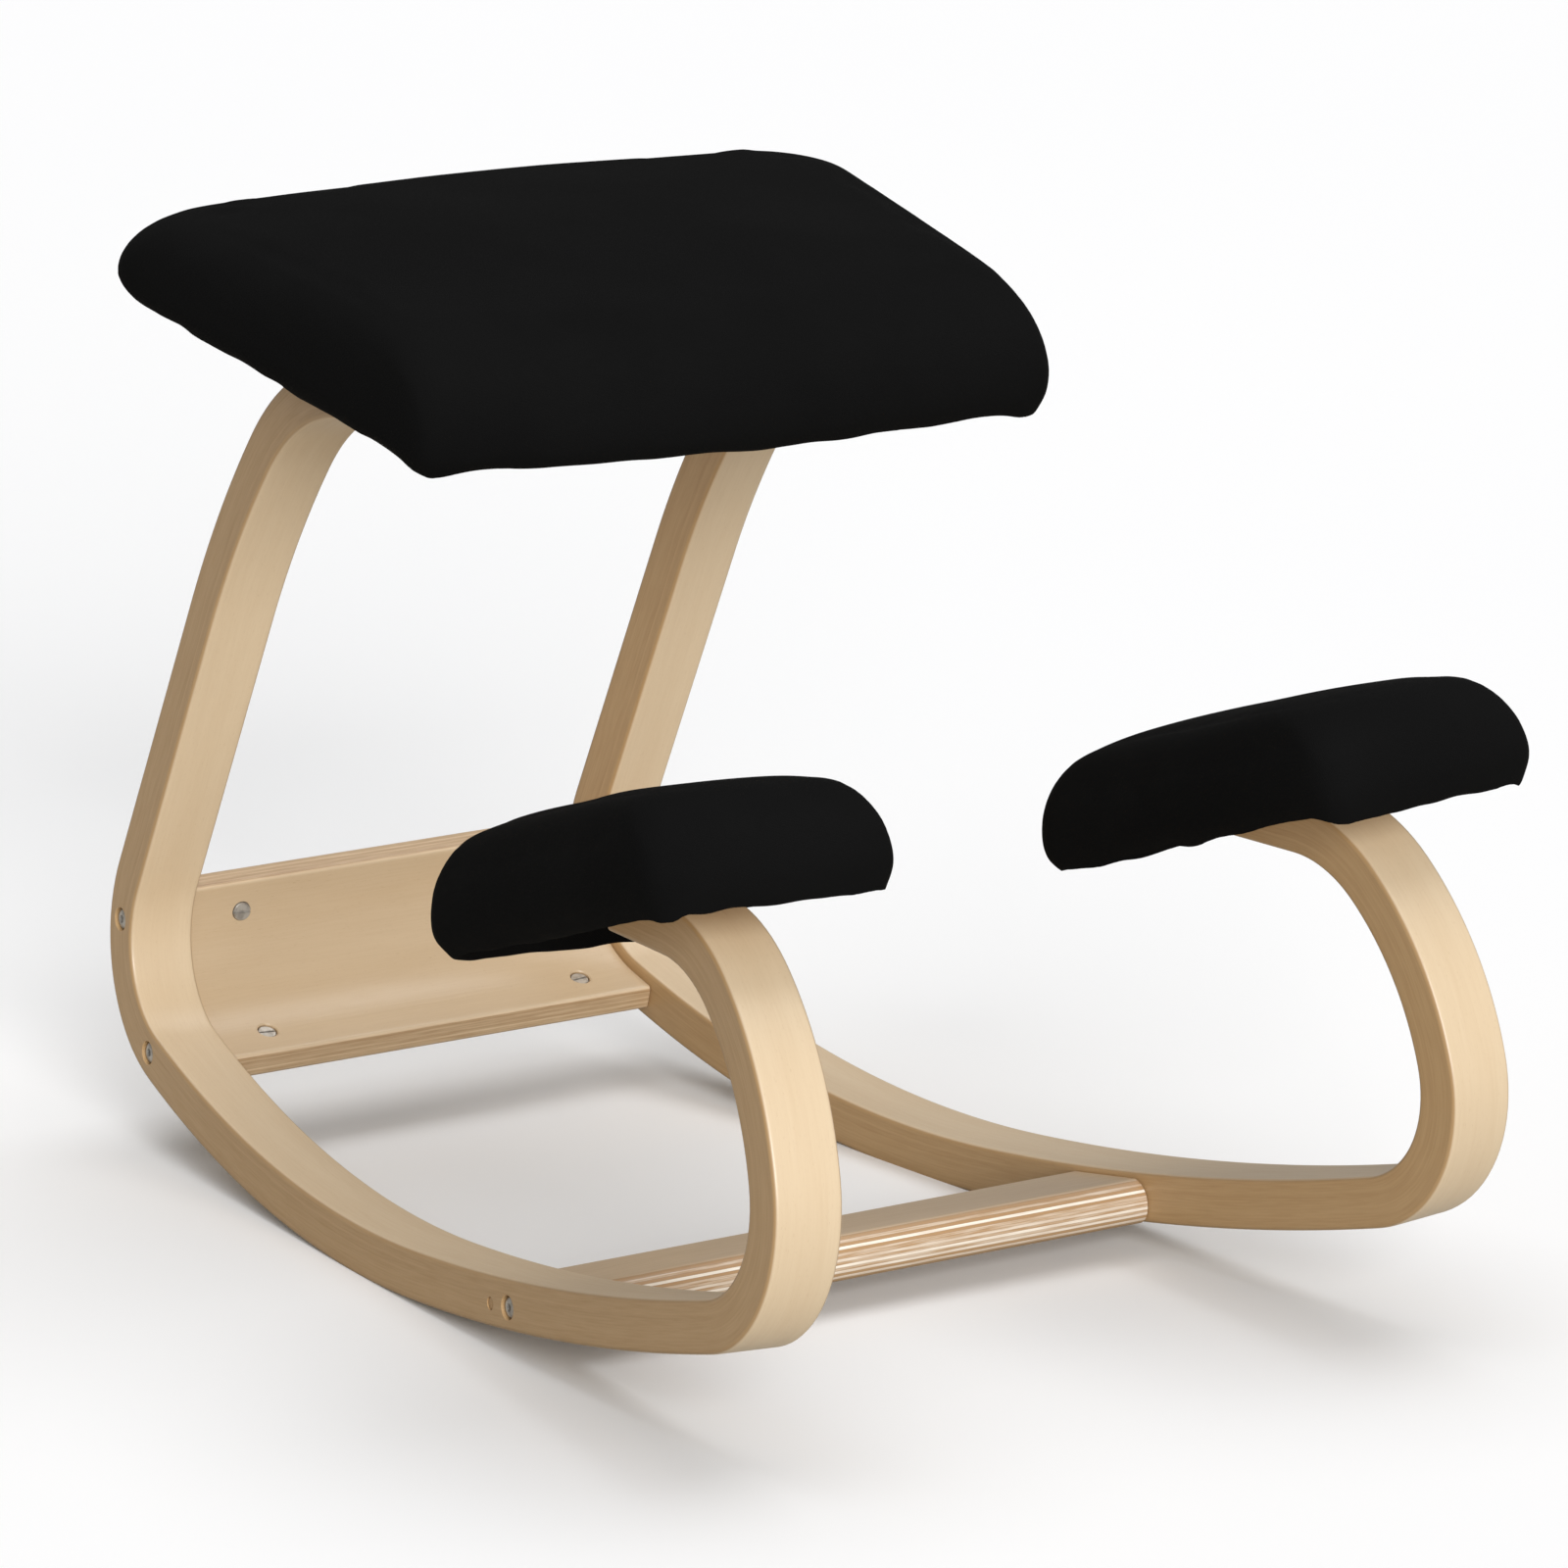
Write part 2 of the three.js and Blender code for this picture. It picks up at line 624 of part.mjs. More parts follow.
function addBoardBolts(frame, prefix, points, grip) {
  const teeTop = BOARD_THICKNESS - TEE_SUNK;
  points.forEach((point, index) => {
    const place = index === 0 ? 'front' : 'rear';
    const boltPlace = new THREE.Matrix4().makeTranslation(point.x, point.y, -grip - SEAT_GAP);
    const nutPlace = new THREE.Matrix4().makeTranslation(point.x, point.y, teeTop);
    const length = grip + SEAT_GAP + teeTop - BOLT_BELOW_TEE_TOP;
    addMesh(frame, `${prefix}_bolt_${place}`, bolt(length), steel, boltPlace);
    addMesh(frame, `${prefix}_tee_nut_${place}`, teeNut(), steel, nutPlace);
  });
}

// Runners

function runnerRings() {
  const corners = chamferedCorners(STRIP_WIDTH, STRIP_THICKNESS, STRIP_CHAMFER);
  const ring = (line, distance) => corners.map(([lateral, inward]) => (
    inRunner(line, distance, inward, lateral)
  ));
  const front = samples(frontLine, 0, frontLine.length).slice(1).reverse();
  const rear = samples(rearLine, 0, rearLine.length);
  return [
    ...front.map((distance) => ring(frontLine, distance)),
    ...rear.map((distance) => ring(rearLine, distance)),
  ];
}

function runner(each) {
  const { frame, side, knee } = each;
  const floor = planingSlab(4 * LEG_LENGTH).translate(0, 0, floorHeight);
  const seatPlane = planingSlab(2 * seatBoardWidth).rotateX(Math.PI).translate(0, 0, -SEAT_GAP);
  const kneePlane = planingSlab(KNEE_BOARD_LENGTH).rotateX(Math.PI).translate(0, 0, -SEAT_GAP);
  const cutters = [
    floor.applyMatrix4(between(chair, frame)),
    seatPlane.applyMatrix4(between(seatFrame, frame)),
    kneePlane.applyMatrix4(between(knee, frame)),
  ];
  for (const joint of sideBoltsOf(side)) {
    cutters.push(...sideBoltHoles(joint.bolt));
  }
  cutters.push(roundBar(DOWEL_HOLE_DIAMETER, -OVERRUN, dowelEnd).applyMatrix4(dowelPlacement(side)));
  for (const point of seatBoltPoints(each)) {
    const holes = boardBoltHoles(point, RAIL_BOLT_GRIP);
    cutters.push(...holes.map((hole) => hole.applyMatrix4(between(seatFrame, frame))));
  }
  for (const point of kneeBoltPoints(each)) {
    const holes = boardBoltHoles(point, KNEE_BOLT_GRIP);
    cutters.push(...holes.map((hole) => hole.applyMatrix4(between(knee, frame))));
  }
  return cut(loft(runnerRings()), cutters);
}

// Rear panel and crossbar, whose ends meet the inner faces of both runners

// A ring across the chair: for each corner, its lateral end on either runner's inner face.
function acrossChair(line, distance, inward, end) {
  const each = end > 0 ? sides[0] : sides[1];
  const lateral = -each.side * (innerFace + SEAT_GAP);
  return inChair(each.frame, inRunner(line, distance, inward, lateral));
}

function panelRing(distance, chamfer) {
  const half = PANEL_THICKNESS / 2;
  const ends = [1, 1, -1, -1];
  const inwards = [-half + chamfer, half - chamfer, half - chamfer, -half + chamfer];
  return ends.map((end, index) => acrossChair(rearLine, distance, inwards[index], end));
}

function rearPanel() {
  const inner = samples(rearLine, panelStart + PANEL_CHAMFER, panelEnd - PANEL_CHAMFER);
  const rings = [
    panelRing(panelStart, PANEL_CHAMFER),
    ...inner.map((distance) => panelRing(distance, 0)),
    panelRing(panelEnd, PANEL_CHAMFER),
  ];
  const cutters = [];
  for (const each of sides) {
    const toChair = between(each.frame, chair);
    for (const joint of sideBoltsOf(each.side).slice(0, 2)) {
      const shank = roundBar(BOLT_HOLE_DIAMETER, 0, sideBoltLength + OVERRUN).applyMatrix4(joint.bolt);
      const nutHole = roundBar(NUT_HOLE_DIAMETER, -PANEL_THICKNESS, PANEL_THICKNESS);
      cutters.push(shank.applyMatrix4(toChair));
      cutters.push(nutHole.applyMatrix4(joint.nut).applyMatrix4(toChair));
    }
  }
  return cut(loft(rings), cutters);
}

// The crossbar's section, as pairs of distance from its middle and inward place.
function crossbarSection() {
  const rear = -CROSSBAR_DEPTH / 2;
  const noseStart = CROSSBAR_DEPTH / 2 - CROSSBAR_NOSE;
  const half = CROSSBAR_THICKNESS / 2;
  const section = [
    [rear + CROSSBAR_CHAMFER, half], [rear, half - CROSSBAR_CHAMFER],
    [rear, CROSSBAR_CHAMFER - half], [rear + CROSSBAR_CHAMFER, -half],
  ];
  for (let step = 0; step <= 2 * ROUNDING_SEGMENTS; step += 1) {
    const angle = (step / (2 * ROUNDING_SEGMENTS) - 1 / 2) * Math.PI;
    section.push([noseStart + CROSSBAR_NOSE * Math.cos(angle), half * Math.sin(angle)]);
  }
  return section;
}

function frontCrossbar() {
  const rings = [1, -1].map((end) => crossbarSection().map(([ahead, inward]) => {
    const each = end > 0 ? sides[0] : sides[1];
    const lateral = -each.side * (innerFace + SEAT_GAP);
    const point = inRunner(frontLine, CROSSBAR_DISTANCE, inward - crossbarDrop, lateral);
    point.addScaledVector(headingAt(frontLine, CROSSBAR_DISTANCE), ahead);
    return inChair(each.frame, point);
  }));
  const cutters = [];
  for (const each of sides) {
    const toChair = between(each.frame, chair);
    const joint = sideBoltsOf(each.side)[2];
    const top = CROSSBAR_THICKNESS / 2 + OVERRUN;
    const nutHole = roundBar(NUT_HOLE_DIAMETER, CROSSBAR_THICKNESS / 2 - CROSSBAR_NUT_HOLE_DEPTH, top);
    const shank = roundBar(BOLT_HOLE_DIAMETER, 0, sideBoltLength + OVERRUN).applyMatrix4(joint.bolt);
    const dowelHole = roundBar(DOWEL_HOLE_DIAMETER, 0, dowelEnd + OVERRUN);
    cutters.push(shank.applyMatrix4(toChair));
    cutters.push(nutHole.applyMatrix4(joint.nut).applyMatrix4(toChair));
    cutters.push(dowelHole.applyMatrix4(dowelPlacement(each.side)).applyMatrix4(toChair));
  }
  return cut(loft(rings), cutters);
}

// Cushions and boards

// The outline of a rounded rectangle about a middle, as points with their outward directions.
function roundedOutline(width, depth, frontRadius, rearRadius = frontRadius) {
  const outline = [];
  const corners = [[1, 1], [-1, 1], [-1, -1], [1, -1]];
  corners.forEach(([sx, sy], index) => {
    const radius = sy > 0 ? rearRadius : frontRadius;
    const centre = new THREE.Vector2(sx * (width / 2 - radius), sy * (depth / 2 - radius));
    for (let step = 0; step <= CORNER_SEGMENTS; step += 1) {
      const angle = ((index + step / CORNER_SEGMENTS) * Math.PI) / 2;
      const out = new THREE.Vector2(Math.cos(angle), Math.sin(angle));
      outline.push({ point: centre.clone().addScaledVector(out, radius), out });
    }
  });
  return outline;
}

// The same outline with each straight edge cut into equal steps.
function cutEdges(outline) {
  const points = [];
  outline.forEach((here, index) => {
    const next = outline[(index + 1) % outline.length];
    points.push(here);
    if ((index + 1) % (CORNER_SEGMENTS + 1) === 0) {
      for (let step = 1; step < EDGE_SEGMENTS; step += 1) {
        const share = step / EDGE_SEGMENTS;
        points.push({
          point: here.point.clone().lerp(next.point, share),
          out: here.out.clone().lerp(next.out, share).normalize(),
        });
      }
    }
  });
  return points;
}

// A level ring round a cushion, drawn in from its bulge by an inset at its sides, front and rear.
// Its corners get rounder further in, it widens evenly to the rear, and its ends are bowed.
function cushionRing(form, inset) {
  const width = form.width - 2 * inset.side;
  const depth = form.depth - inset.front - inset.rear;
  const rounder = CORNER_GROWTH_SHARE * inset.side;
  const rectangle = roundedOutline(width, depth, form.frontCorner + rounder, form.rearCorner + rounder);
  return cutEdges(rectangle).map(({ point, out }) => {
    const y = point.y + (inset.front - inset.rear) / 2;
    const wider = 1 + (form.widening * y) / (form.width * form.depth);
    const across = point.x / (width / 2);
    const bow = out.y > 0 ? form.rearBow : form.frontBow;
    const bowed = bow * out.y * Math.abs(out.y) * (1 - across * across);
    return new THREE.Vector2(point.x * wider, y + bowed);
  });
}

// A level ring round a board, or round the room for it, grown by a margin.
function boardRing(form, margin, height) {
  const { side, front, rear } = form.foam;
  const ring = cushionRing(form, { side: side - margin, front: front - margin, rear: rear - margin });
  return ring.map(({ x, y }) => new THREE.Vector3(x, y + form.middle, height));
}

// A board with its underside at z = 0, and holes for its tee nuts.
function board(form, boltPoints) {
  const blank = loft([
    boardRing(form, -BOARD_CHAMFER, 0),
    boardRing(form, 0, BOARD_CHAMFER),
    boardRing(form, 0, BOARD_THICKNESS - BOARD_CHAMFER),
    boardRing(form, -BOARD_CHAMFER, BOARD_THICKNESS),
  ]);
  return cut(blank, boltPoints.flatMap(teeNutHoles));
}

// A stuffed cushion: a hem drawn in under a bulging side, a rounding that turns into the top, and a
// crown. The hem hangs below the board's underside by the front's skirt and the rear's skirt.
function cushion(form) {
  const hemAt = (y) => -THREE.MathUtils.lerp(form.frontSkirt, form.rearSkirt, y / form.depth + 1 / 2);
  const raised = (ring, size, heightAt) => ring.map(({ x, y }) => (
    new THREE.Vector3(x * size, y * size + form.middle, heightAt(y))
  ));
  const rings = BULGE_SHARES.map((share) => {
    const drawnIn = form.hemDrawIn * (1 - Math.sin((share * Math.PI) / 2));
    const ring = cushionRing(form, { side: drawnIn, front: drawnIn, rear: drawnIn });
    return raised(ring, 1, (y) => hemAt(y) + form.bulgeHeight * share);
  });
  let edge = [];
  for (let step = 1; step <= ROUNDING_SEGMENTS; step += 1) {
    const angle = ((step / ROUNDING_SEGMENTS) * Math.PI) / 2;
    const share = 1 - Math.cos(angle);
    edge = cushionRing(form, {
      side: form.sideRounding * share,
      front: form.frontRounding * share,
      rear: form.rearRounding * share,
    });
    rings.push(raised(edge, 1, (y) => (
      THREE.MathUtils.lerp(hemAt(y) + form.bulgeHeight, form.topHeight, Math.sin(angle))
    )));
  }
  for (const share of CROWN_SIZE_SHARES) {
    rings.push(raised(edge, share, () => form.topHeight + form.crown * (1 - share * share)));
  }
  return cut(loft(rings), [pocket(form)]);
}

// The room for a board in the underside of its cushion.
function pocket(form) {
  const bottom = -Math.max(form.frontSkirt, form.rearSkirt) - OVERRUN;
  return loft([
    boardRing(form, POCKET_CLEARANCE, bottom),
    boardRing(form, POCKET_CLEARANCE, BOARD_THICKNESS + SEAT_GAP),
  ]);
}

const seatFoam = {
  side: SEAT_FOAM_BESIDE_BOARD,
  front: SEAT_FOAM_AHEAD_OF_BOARD,
  rear: SEAT_FOAM_BEHIND_BOARD,
};
const seatForm = {
  foam: seatFoam,
  width: seatBoardWidth + 2 * seatFoam.side + SEAT_WIDENING / 2,
  depth: seatFoam.front + SEAT_BOARD_DEPTH + seatFoam.rear,
  middle: (SEAT_BOARD_DEPTH + seatFoam.rear - seatFoam.front) / 2 - SEAT_BOARD_AHEAD_OF_RAIL_END,
  widening: SEAT_WIDENING,
  frontBow: SEAT_FRONT_BOW,
  rearBow: SEAT_REAR_BOW,
  frontSkirt: SEAT_FRONT_SKIRT,
  rearSkirt: SEAT_REAR_SKIRT,
  topHeight: SEAT_TOP_HEIGHT,
  crown: SEAT_CROWN,
  frontCorner: SEAT_FRONT_CORNER,
  rearCorner: SEAT_REAR_CORNER,
  sideRounding: SEAT_SIDE_ROUNDING,
  frontRounding: SEAT_FRONT_ROUNDING,
  rearRounding: SEAT_REAR_ROUNDING,
  hemDrawIn: SEAT_HEM_DRAW_IN,
  bulgeHeight: SEAT_BULGE_HEIGHT,
};
const kneeFoam = {
  side: KNEE_FOAM_BESIDE_BOARD,
  front: KNEE_FOAM_AHEAD_OF_BOARD,
  rear: KNEE_FOAM_BEHIND_BOARD,
};
const kneeForm = {
  foam: kneeFoam,
  width: KNEE_BOARD_WIDTH + 2 * kneeFoam.side,
  depth: kneeFoam.front + KNEE_BOARD_LENGTH + kneeFoam.rear,
  middle: (KNEE_BOARD_LENGTH + kneeFoam.rear - kneeFoam.front) / 2 - KNEE_BOARD_AHEAD_OF_BEND,
  widening: 0,
  frontBow: KNEE_FRONT_BOW,
  rearBow: KNEE_REAR_BOW,
  frontSkirt: KNEE_FRONT_SKIRT,
  rearSkirt: KNEE_REAR_SKIRT,
  topHeight: KNEE_TOP_HEIGHT,
  crown: KNEE_CROWN,
  frontCorner: KNEE_CORNER,
  rearCorner: KNEE_CORNER,
  sideRounding: KNEE_SIDE_ROUNDING,
  frontRounding: KNEE_FRONT_ROUNDING,
  rearRounding: KNEE_REAR_ROUNDING,
  hemDrawIn: KNEE_HEM_DRAW_IN,
  bulgeHeight: KNEE_BULGE_HEIGHT,
};

// The chair, piece by piece

for (const each of sides) {
  const { name, side, frame } = each;
  addMesh(frame, `runner_${name}`, runner(each), birch);
  for (const joint of sideBoltsOf(side)) {
    const holeHeight = joint.nutLength / 2;
    addMesh(frame, `${joint.name}_bolt_${name}`, bolt(sideBoltLength), steel, joint.bolt);
    addMesh(frame, `${joint.name}_nut_${name}`, barrelNut(joint.nutLength, holeHeight), steel, joint.nut);
  }
  const dowel = roundBar(DOWEL_DIAMETER, DOWEL_SUNK, dowelEnd - SEAT_GAP);
  addMesh(frame, `crossbar_dowel_${name}`, dowel, beech, dowelPlacement(side));
}

addMesh(chair, 'rear_panel', rearPanel(), plywood);
addMesh(chair, 'front_crossbar', frontCrossbar(), plywood);

const seatBolts = sides.map(seatBoltPoints);
addMesh(seatFrame, 'seat_board', board(seatForm, seatBolts.flat()), plywood);
addMesh(seatFrame, 'seat_cushion', cushion(seatForm), fabric);
sides.forEach((each, index) => {
  addBoardBolts(seatFrame, `seat_${each.name}`, seatBolts[index], RAIL_BOLT_GRIP);
});

for (const each of sides) {
  const points = kneeBoltPoints(each);
  addMesh(each.knee, `knee_board_${each.name}`, board(kneeForm, points), plywood);
  addMesh(each.knee, `knee_cushion_${each.name}`, cushion(kneeForm), fabric);
  addBoardBolts(each.knee, `knee_${each.name}`, points, KNEE_BOLT_GRIP);
}

// The chair stands on the floor, with its middle over the origin.
chair.updateMatrixWorld(true);
const reach = new THREE.Box3().setFromObject(chair, true);
chair.position.set(0, -(reach.min.y + reach.max.y) / 2, -floorHeight);
chair.updateMatrixWorld(true);

export default chair;
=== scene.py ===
"""Kneeling chair, dressed for rendering.

Two bent birch runners rock on the floor. A cushioned seat lies on their rear ends, a cushioned knee
rest on each front end, and a bent panel and a crossbar join them. Metres, +Z up, -Y is the front.
"""

from __future__ import annotations

import logging
import math
from dataclasses import dataclass, field, replace
from enum import Enum
from typing import Callable, Iterable, Optional, Sequence

import bmesh
import bpy
import numpy as np
from mathutils import Matrix, Vector, noise


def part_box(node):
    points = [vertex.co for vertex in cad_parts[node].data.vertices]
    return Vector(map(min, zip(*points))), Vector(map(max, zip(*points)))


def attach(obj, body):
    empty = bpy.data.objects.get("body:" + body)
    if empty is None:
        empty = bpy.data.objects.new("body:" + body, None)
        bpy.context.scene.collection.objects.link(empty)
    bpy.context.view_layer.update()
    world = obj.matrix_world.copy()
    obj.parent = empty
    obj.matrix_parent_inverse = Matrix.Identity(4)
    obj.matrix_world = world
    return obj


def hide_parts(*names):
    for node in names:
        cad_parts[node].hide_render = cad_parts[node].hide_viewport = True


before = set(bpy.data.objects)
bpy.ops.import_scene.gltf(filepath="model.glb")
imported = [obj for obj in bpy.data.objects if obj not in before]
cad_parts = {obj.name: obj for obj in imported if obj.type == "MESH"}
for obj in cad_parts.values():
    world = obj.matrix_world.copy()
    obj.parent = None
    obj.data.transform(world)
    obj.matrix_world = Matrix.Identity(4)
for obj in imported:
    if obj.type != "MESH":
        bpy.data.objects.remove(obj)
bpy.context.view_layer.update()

LOG = logging.getLogger("kneeling_chair")

MM = 0.001
ACROSS = Vector((1.0, 0.0, 0.0))
UPWARD = Vector((0.0, 0.0, 1.0))
GRAIN = "grain"
VECTOR = "NodeSocketVector"
FLOAT = "NodeSocketFloat"

Profile = list[tuple[float, float]]
Range = tuple[float, float]
Colour = tuple[float, float, float]
Socket = bpy.types.NodeSocket

# Sizes of the rings in a cushion's top, as shares of the top's edge
TOP_RINGS = (0.93, 0.85, 0.76, 0.66, 0.55, 0.43, 0.31, 0.18, 0.07)

# Curve of a bolt's head, as shares of its radius and of its height
HEAD_CROWN = ((0.0, 0.0), (0.42, 0.0), (0.6, 0.03), (0.76, 0.12), (0.88, 0.26), (0.96, 0.45), (1.0, 0.68))


class Side(Enum):
    """The sitter's left and right, with the sign of X on that side."""

    LEFT = 1
    RIGHT = -1

    @property
    def label(self) -> str:
        """The word that piece names end with."""
        return self.name.lower()


class Slot(Enum):
    """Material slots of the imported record."""

    BIRCH = "birch"
    PANEL = "panel"
    CROSSBAR = "crossbar"
    PLYWOOD = "plywood"
    DOWEL = "dowel"
    FABRIC = "fabric"
    STEEL = "steel"


# Mesh making


def mesh_object(
    name: str, points: Iterable, faces: Iterable[Sequence[int]], place: Matrix = Matrix()
) -> bpy.types.Object:
    """Makes an object whose vertices stand in the chair's frame.

    Args:
        name: The object's name.
        points: Vertex places in the piece's own frame.
        faces: Vertex numbers of each face.
        place: The matrix from the piece's frame to the chair's.

    Returns:
        The new object, linked to the scene, with its faces turned outwards.
    """
    mesh = bpy.data.meshes.new(name)
    mesh.from_pydata([place @ Vector(point) for point in points], [], [list(f) for f in faces])
    body = bmesh.new()
    body.from_mesh(mesh)
    bmesh.ops.recalc_face_normals(body, faces=body.faces)
    body.to_mesh(mesh)
    body.free()
    piece = bpy.data.objects.new(name, mesh)
    bpy.context.scene.collection.objects.link(piece)
    return piece


def coordinates(piece: bpy.types.Object) -> np.ndarray:
    """Reads the places of a piece's vertices.

    Args:
        piece: The piece.

    Returns:
        Rows of x, y and z.
    """
    places = np.empty(len(piece.data.vertices) * 3)
    piece.data.vertices.foreach_get("co", places)
    return places.reshape(-1, 3)


def set_coordinates(piece: bpy.types.Object, places: np.ndarray) -> None:
    """Moves the vertices of a piece to new places."""
    piece.data.vertices.foreach_set("co", places.ravel())
    piece.data.update()


def transformed(points: np.ndarray, matrix: Matrix) -> np.ndarray:
    """Returns points taken through a matrix, one row each."""
    numbers = np.array(matrix)
    return points @ numbers[:3, :3].T + numbers[:3, 3]


def bake_modifiers(piece: bpy.types.Object) -> None:
    """Turns the result of a piece's modifiers into its mesh and drops the modifiers.

    Args:
        piece: The piece.
    """
    graph = bpy.context.evaluated_depsgraph_get()
    result = bpy.data.meshes.new_from_object(piece.evaluated_get(graph))
    old = piece.data
    piece.modifiers.clear()
    piece.data = result
    result.name = piece.name
    bpy.data.meshes.remove(old)


def cut(piece: bpy.types.Object, cutters: Sequence[bpy.types.Object]) -> None:
    """Takes every cutter out of a piece and removes the cutters.

    Args:
        piece: The piece that is cut.
        cutters: Closed bodies, which are used up.
    """
    for cutter in cutters:
        step = piece.modifiers.new("Cut", "BOOLEAN")
        step.operation = "DIFFERENCE"
        step.solver = "EXACT"
        step.object = cutter
    bake_modifiers(piece)
    for cutter in cutters:
        bpy.data.meshes.remove(cutter.data)


def smooth(piece: bpy.types.Object, sharp_degrees: float = 32.0) -> None:
    """Shades a piece smoothly, apart from edges sharper than an angle in degrees."""
    piece.data.shade_smooth()
    piece.data.set_sharp_from_angle(angle=math.radians(sharp_degrees))


def loft_faces(ring_count: int, ring_size: int) -> list[list[int]]:
    """Lists the faces of a closed loft: strips between its rings and one cap at each end.

    Args:
        ring_count: The number of rings.
        ring_size: The number of points in a ring.

    Returns:
        Vertex numbers of each face.
    """
    faces = [list(range(ring_size))]
    faces.append([(ring_count - 1) * ring_size + i for i in reversed(range(ring_size))])
    for ring in range(ring_count - 1):
        for i in range(ring_size):
            a = ring * ring_size + i
            b = ring * ring_size + (i + 1) % ring_size
            faces.append([a, b, b + ring_size, a + ring_size])
    return faces


def loft(name: str, rings: Sequence[Sequence], place: Matrix = Matrix()) -> bpy.types.Object:
    """Makes a closed body through rings of points.

    Args:
        name: The object's name.
        rings: Rings with the same number of points.
        place: The matrix from the rings' frame to the chair's.

    Returns:
        The new object.
    """
    points = [point for ring in rings for point in ring]
    return mesh_object(name, points, loft_faces(len(rings), len(rings[0])), place)


def lathe(
    name: str,
    profile: Profile,
    place: Matrix = Matrix(),
    segments: int = 48,
    hollow: bool = False,
) -> bpy.types.Object:
    """Turns a profile about +Z.

    Args:
        name: The object's name.
        profile: Pairs of radius and height. A solid body's first and last pair lie on the axis.
        place: The matrix from the profile's frame to the chair's.
        segments: The number of flats round the body.
        hollow: Whether the profile is a closed loop off the axis.

    Returns:
        The new object.
    """
    rings = list(profile) if hollow else list(profile[1:-1])
    points = []
    for radius, height in rings:
        for i in range(segments):
            angle = 2 * math.pi * i / segments
            points.append((radius * math.cos(angle), radius * math.sin(angle), height))
    faces = []
    steps = len(rings) if hollow else len(rings) - 1
    for ring in range(steps):
        for i in range(segments):
            j = (i + 1) % segments
            a, b = ring * segments, ((ring + 1) % len(rings)) * segments
            faces.append([a + i, a + j, b + j, b + i])
    if not hollow:
        bottom, top = len(points), len(points) + 1
        last = (len(rings) - 1) * segments
        points += [(0.0, 0.0, profile[0][1]), (0.0, 0.0, profile[-1][1])]
        for i in range(segments):
            j = (i + 1) % segments
            faces.append([bottom, j, i])
            faces.append([top, last + i, last + j])
    return mesh_object(name, points, faces, place)


def slab(size: float, place: Matrix) -> bpy.types.Object:
    """Makes a cutter that takes away everything above the plane z = 0 of a place.

    Args:
        size: The cutter's width and height.
        place: The matrix of the plane.

    Returns:
        The cutter.
    """
    half = size / 2
    corners = [(-half, -half), (half, -half), (half, half), (-half, half)]
    return loft("slab", [[(x, y, z) for x, y in corners] for z in (0.0, size)], place)


def stand_along(origin: Vector, direction: Vector) -> Matrix:
    """Returns the matrix that takes a shape standing along +Z to a place, along a direction."""
    turn = UPWARD.rotation_difference(direction)
    return Matrix.Translation(origin) @ turn.to_matrix().to_4x4()


def save_vectors(piece: bpy.types.Object, name: str, values: np.ndarray) -> None:
    """Stores a vector on each vertex of a piece."""
    layer = piece.data.attributes.new(name, "FLOAT_VECTOR", "POINT")
    layer.data.foreach_set("vector", values.astype(np.float32).ravel())


# The chair's plan: its middle lines and the frames of its sub-assemblies


@dataclass(frozen=True)
class Stretch:
    """One arc or straight of a middle line, with its turn in degrees."""

    radius: float = 0.0
    turn: float = 0.0
    straight: float = 0.0

    @property
    def length(self) -> float:
        """The distance along the stretch."""
        return self.straight + self.radius * math.radians(self.turn)


@dataclass
class MiddleLine:
    """A line in a runner's plane, of arcs and straights that follow each other.

    Places in the plane are (y, z). Every arc turns to the same hand: +1 turns from +Y towards +Z.
    """

    heading: float
    hand: int
    stretches: tuple[Stretch, ...]

    def start_of(self, number: int) -> float:
        """Returns the distance along the line at which a stretch starts."""
        return sum(stretch.length for stretch in self.stretches[:number])

    @property
    def length(self) -> float:
        """The distance along the whole line."""
        return self.start_of(len(self.stretches))

    def at(self, distance: float) -> tuple[np.ndarray, float]:
        """Follows the line.

        Args:
            distance: The distance from the line's start.

        Returns:
            The point in the runner's plane and the heading's angle there.
        """
        point = np.zeros(2)
        angle = self.heading
        rest = distance
        for stretch in self.stretches:
            run = min(rest, stretch.length)
            if stretch.turn:
                further = angle + self.hand * run / stretch.radius
                centre = point + self.left_of(angle) * self.hand * stretch.radius
                point = centre - self.left_of(further) * self.hand * stretch.radius
                angle = further
            else:
                point = point + np.array([math.cos(angle), math.sin(angle)]) * run
            rest -= run
            if rest <= 0:
                break
        return point, angle

    @staticmethod
    def left_of(angle: float) -> np.ndarray:
        """Returns the direction to the left of a heading."""
        return np.array([-math.sin(angle), math.cos(angle)])

    def place(self, distance: float, inward: float, lateral: float) -> Vector:
        """Finds a point beside the line.

        Args:
            distance: The distance from the line's start.
            inward: How far towards the inside of the bends.
            lateral: How far along X.

        Returns:
            The point in the runner's frame.
        """
        point, angle = self.at(distance)
        y, z = point + self.left_of(angle) * self.hand * inward
        return Vector((lateral, y, z))

    def forward(self, distance: float) -> Vector:
        """Returns the line's direction at a distance."""
        angle = self.at(distance)[1]
        return Vector((0.0, math.cos(angle), math.sin(angle)))

    def inward(self, distance: float) -> Vector:
        """Returns the direction to the inside of the bends at a distance."""
        y, z = self.left_of(self.at(distance)[1]) * self.hand
        return Vector((0.0, y, z))


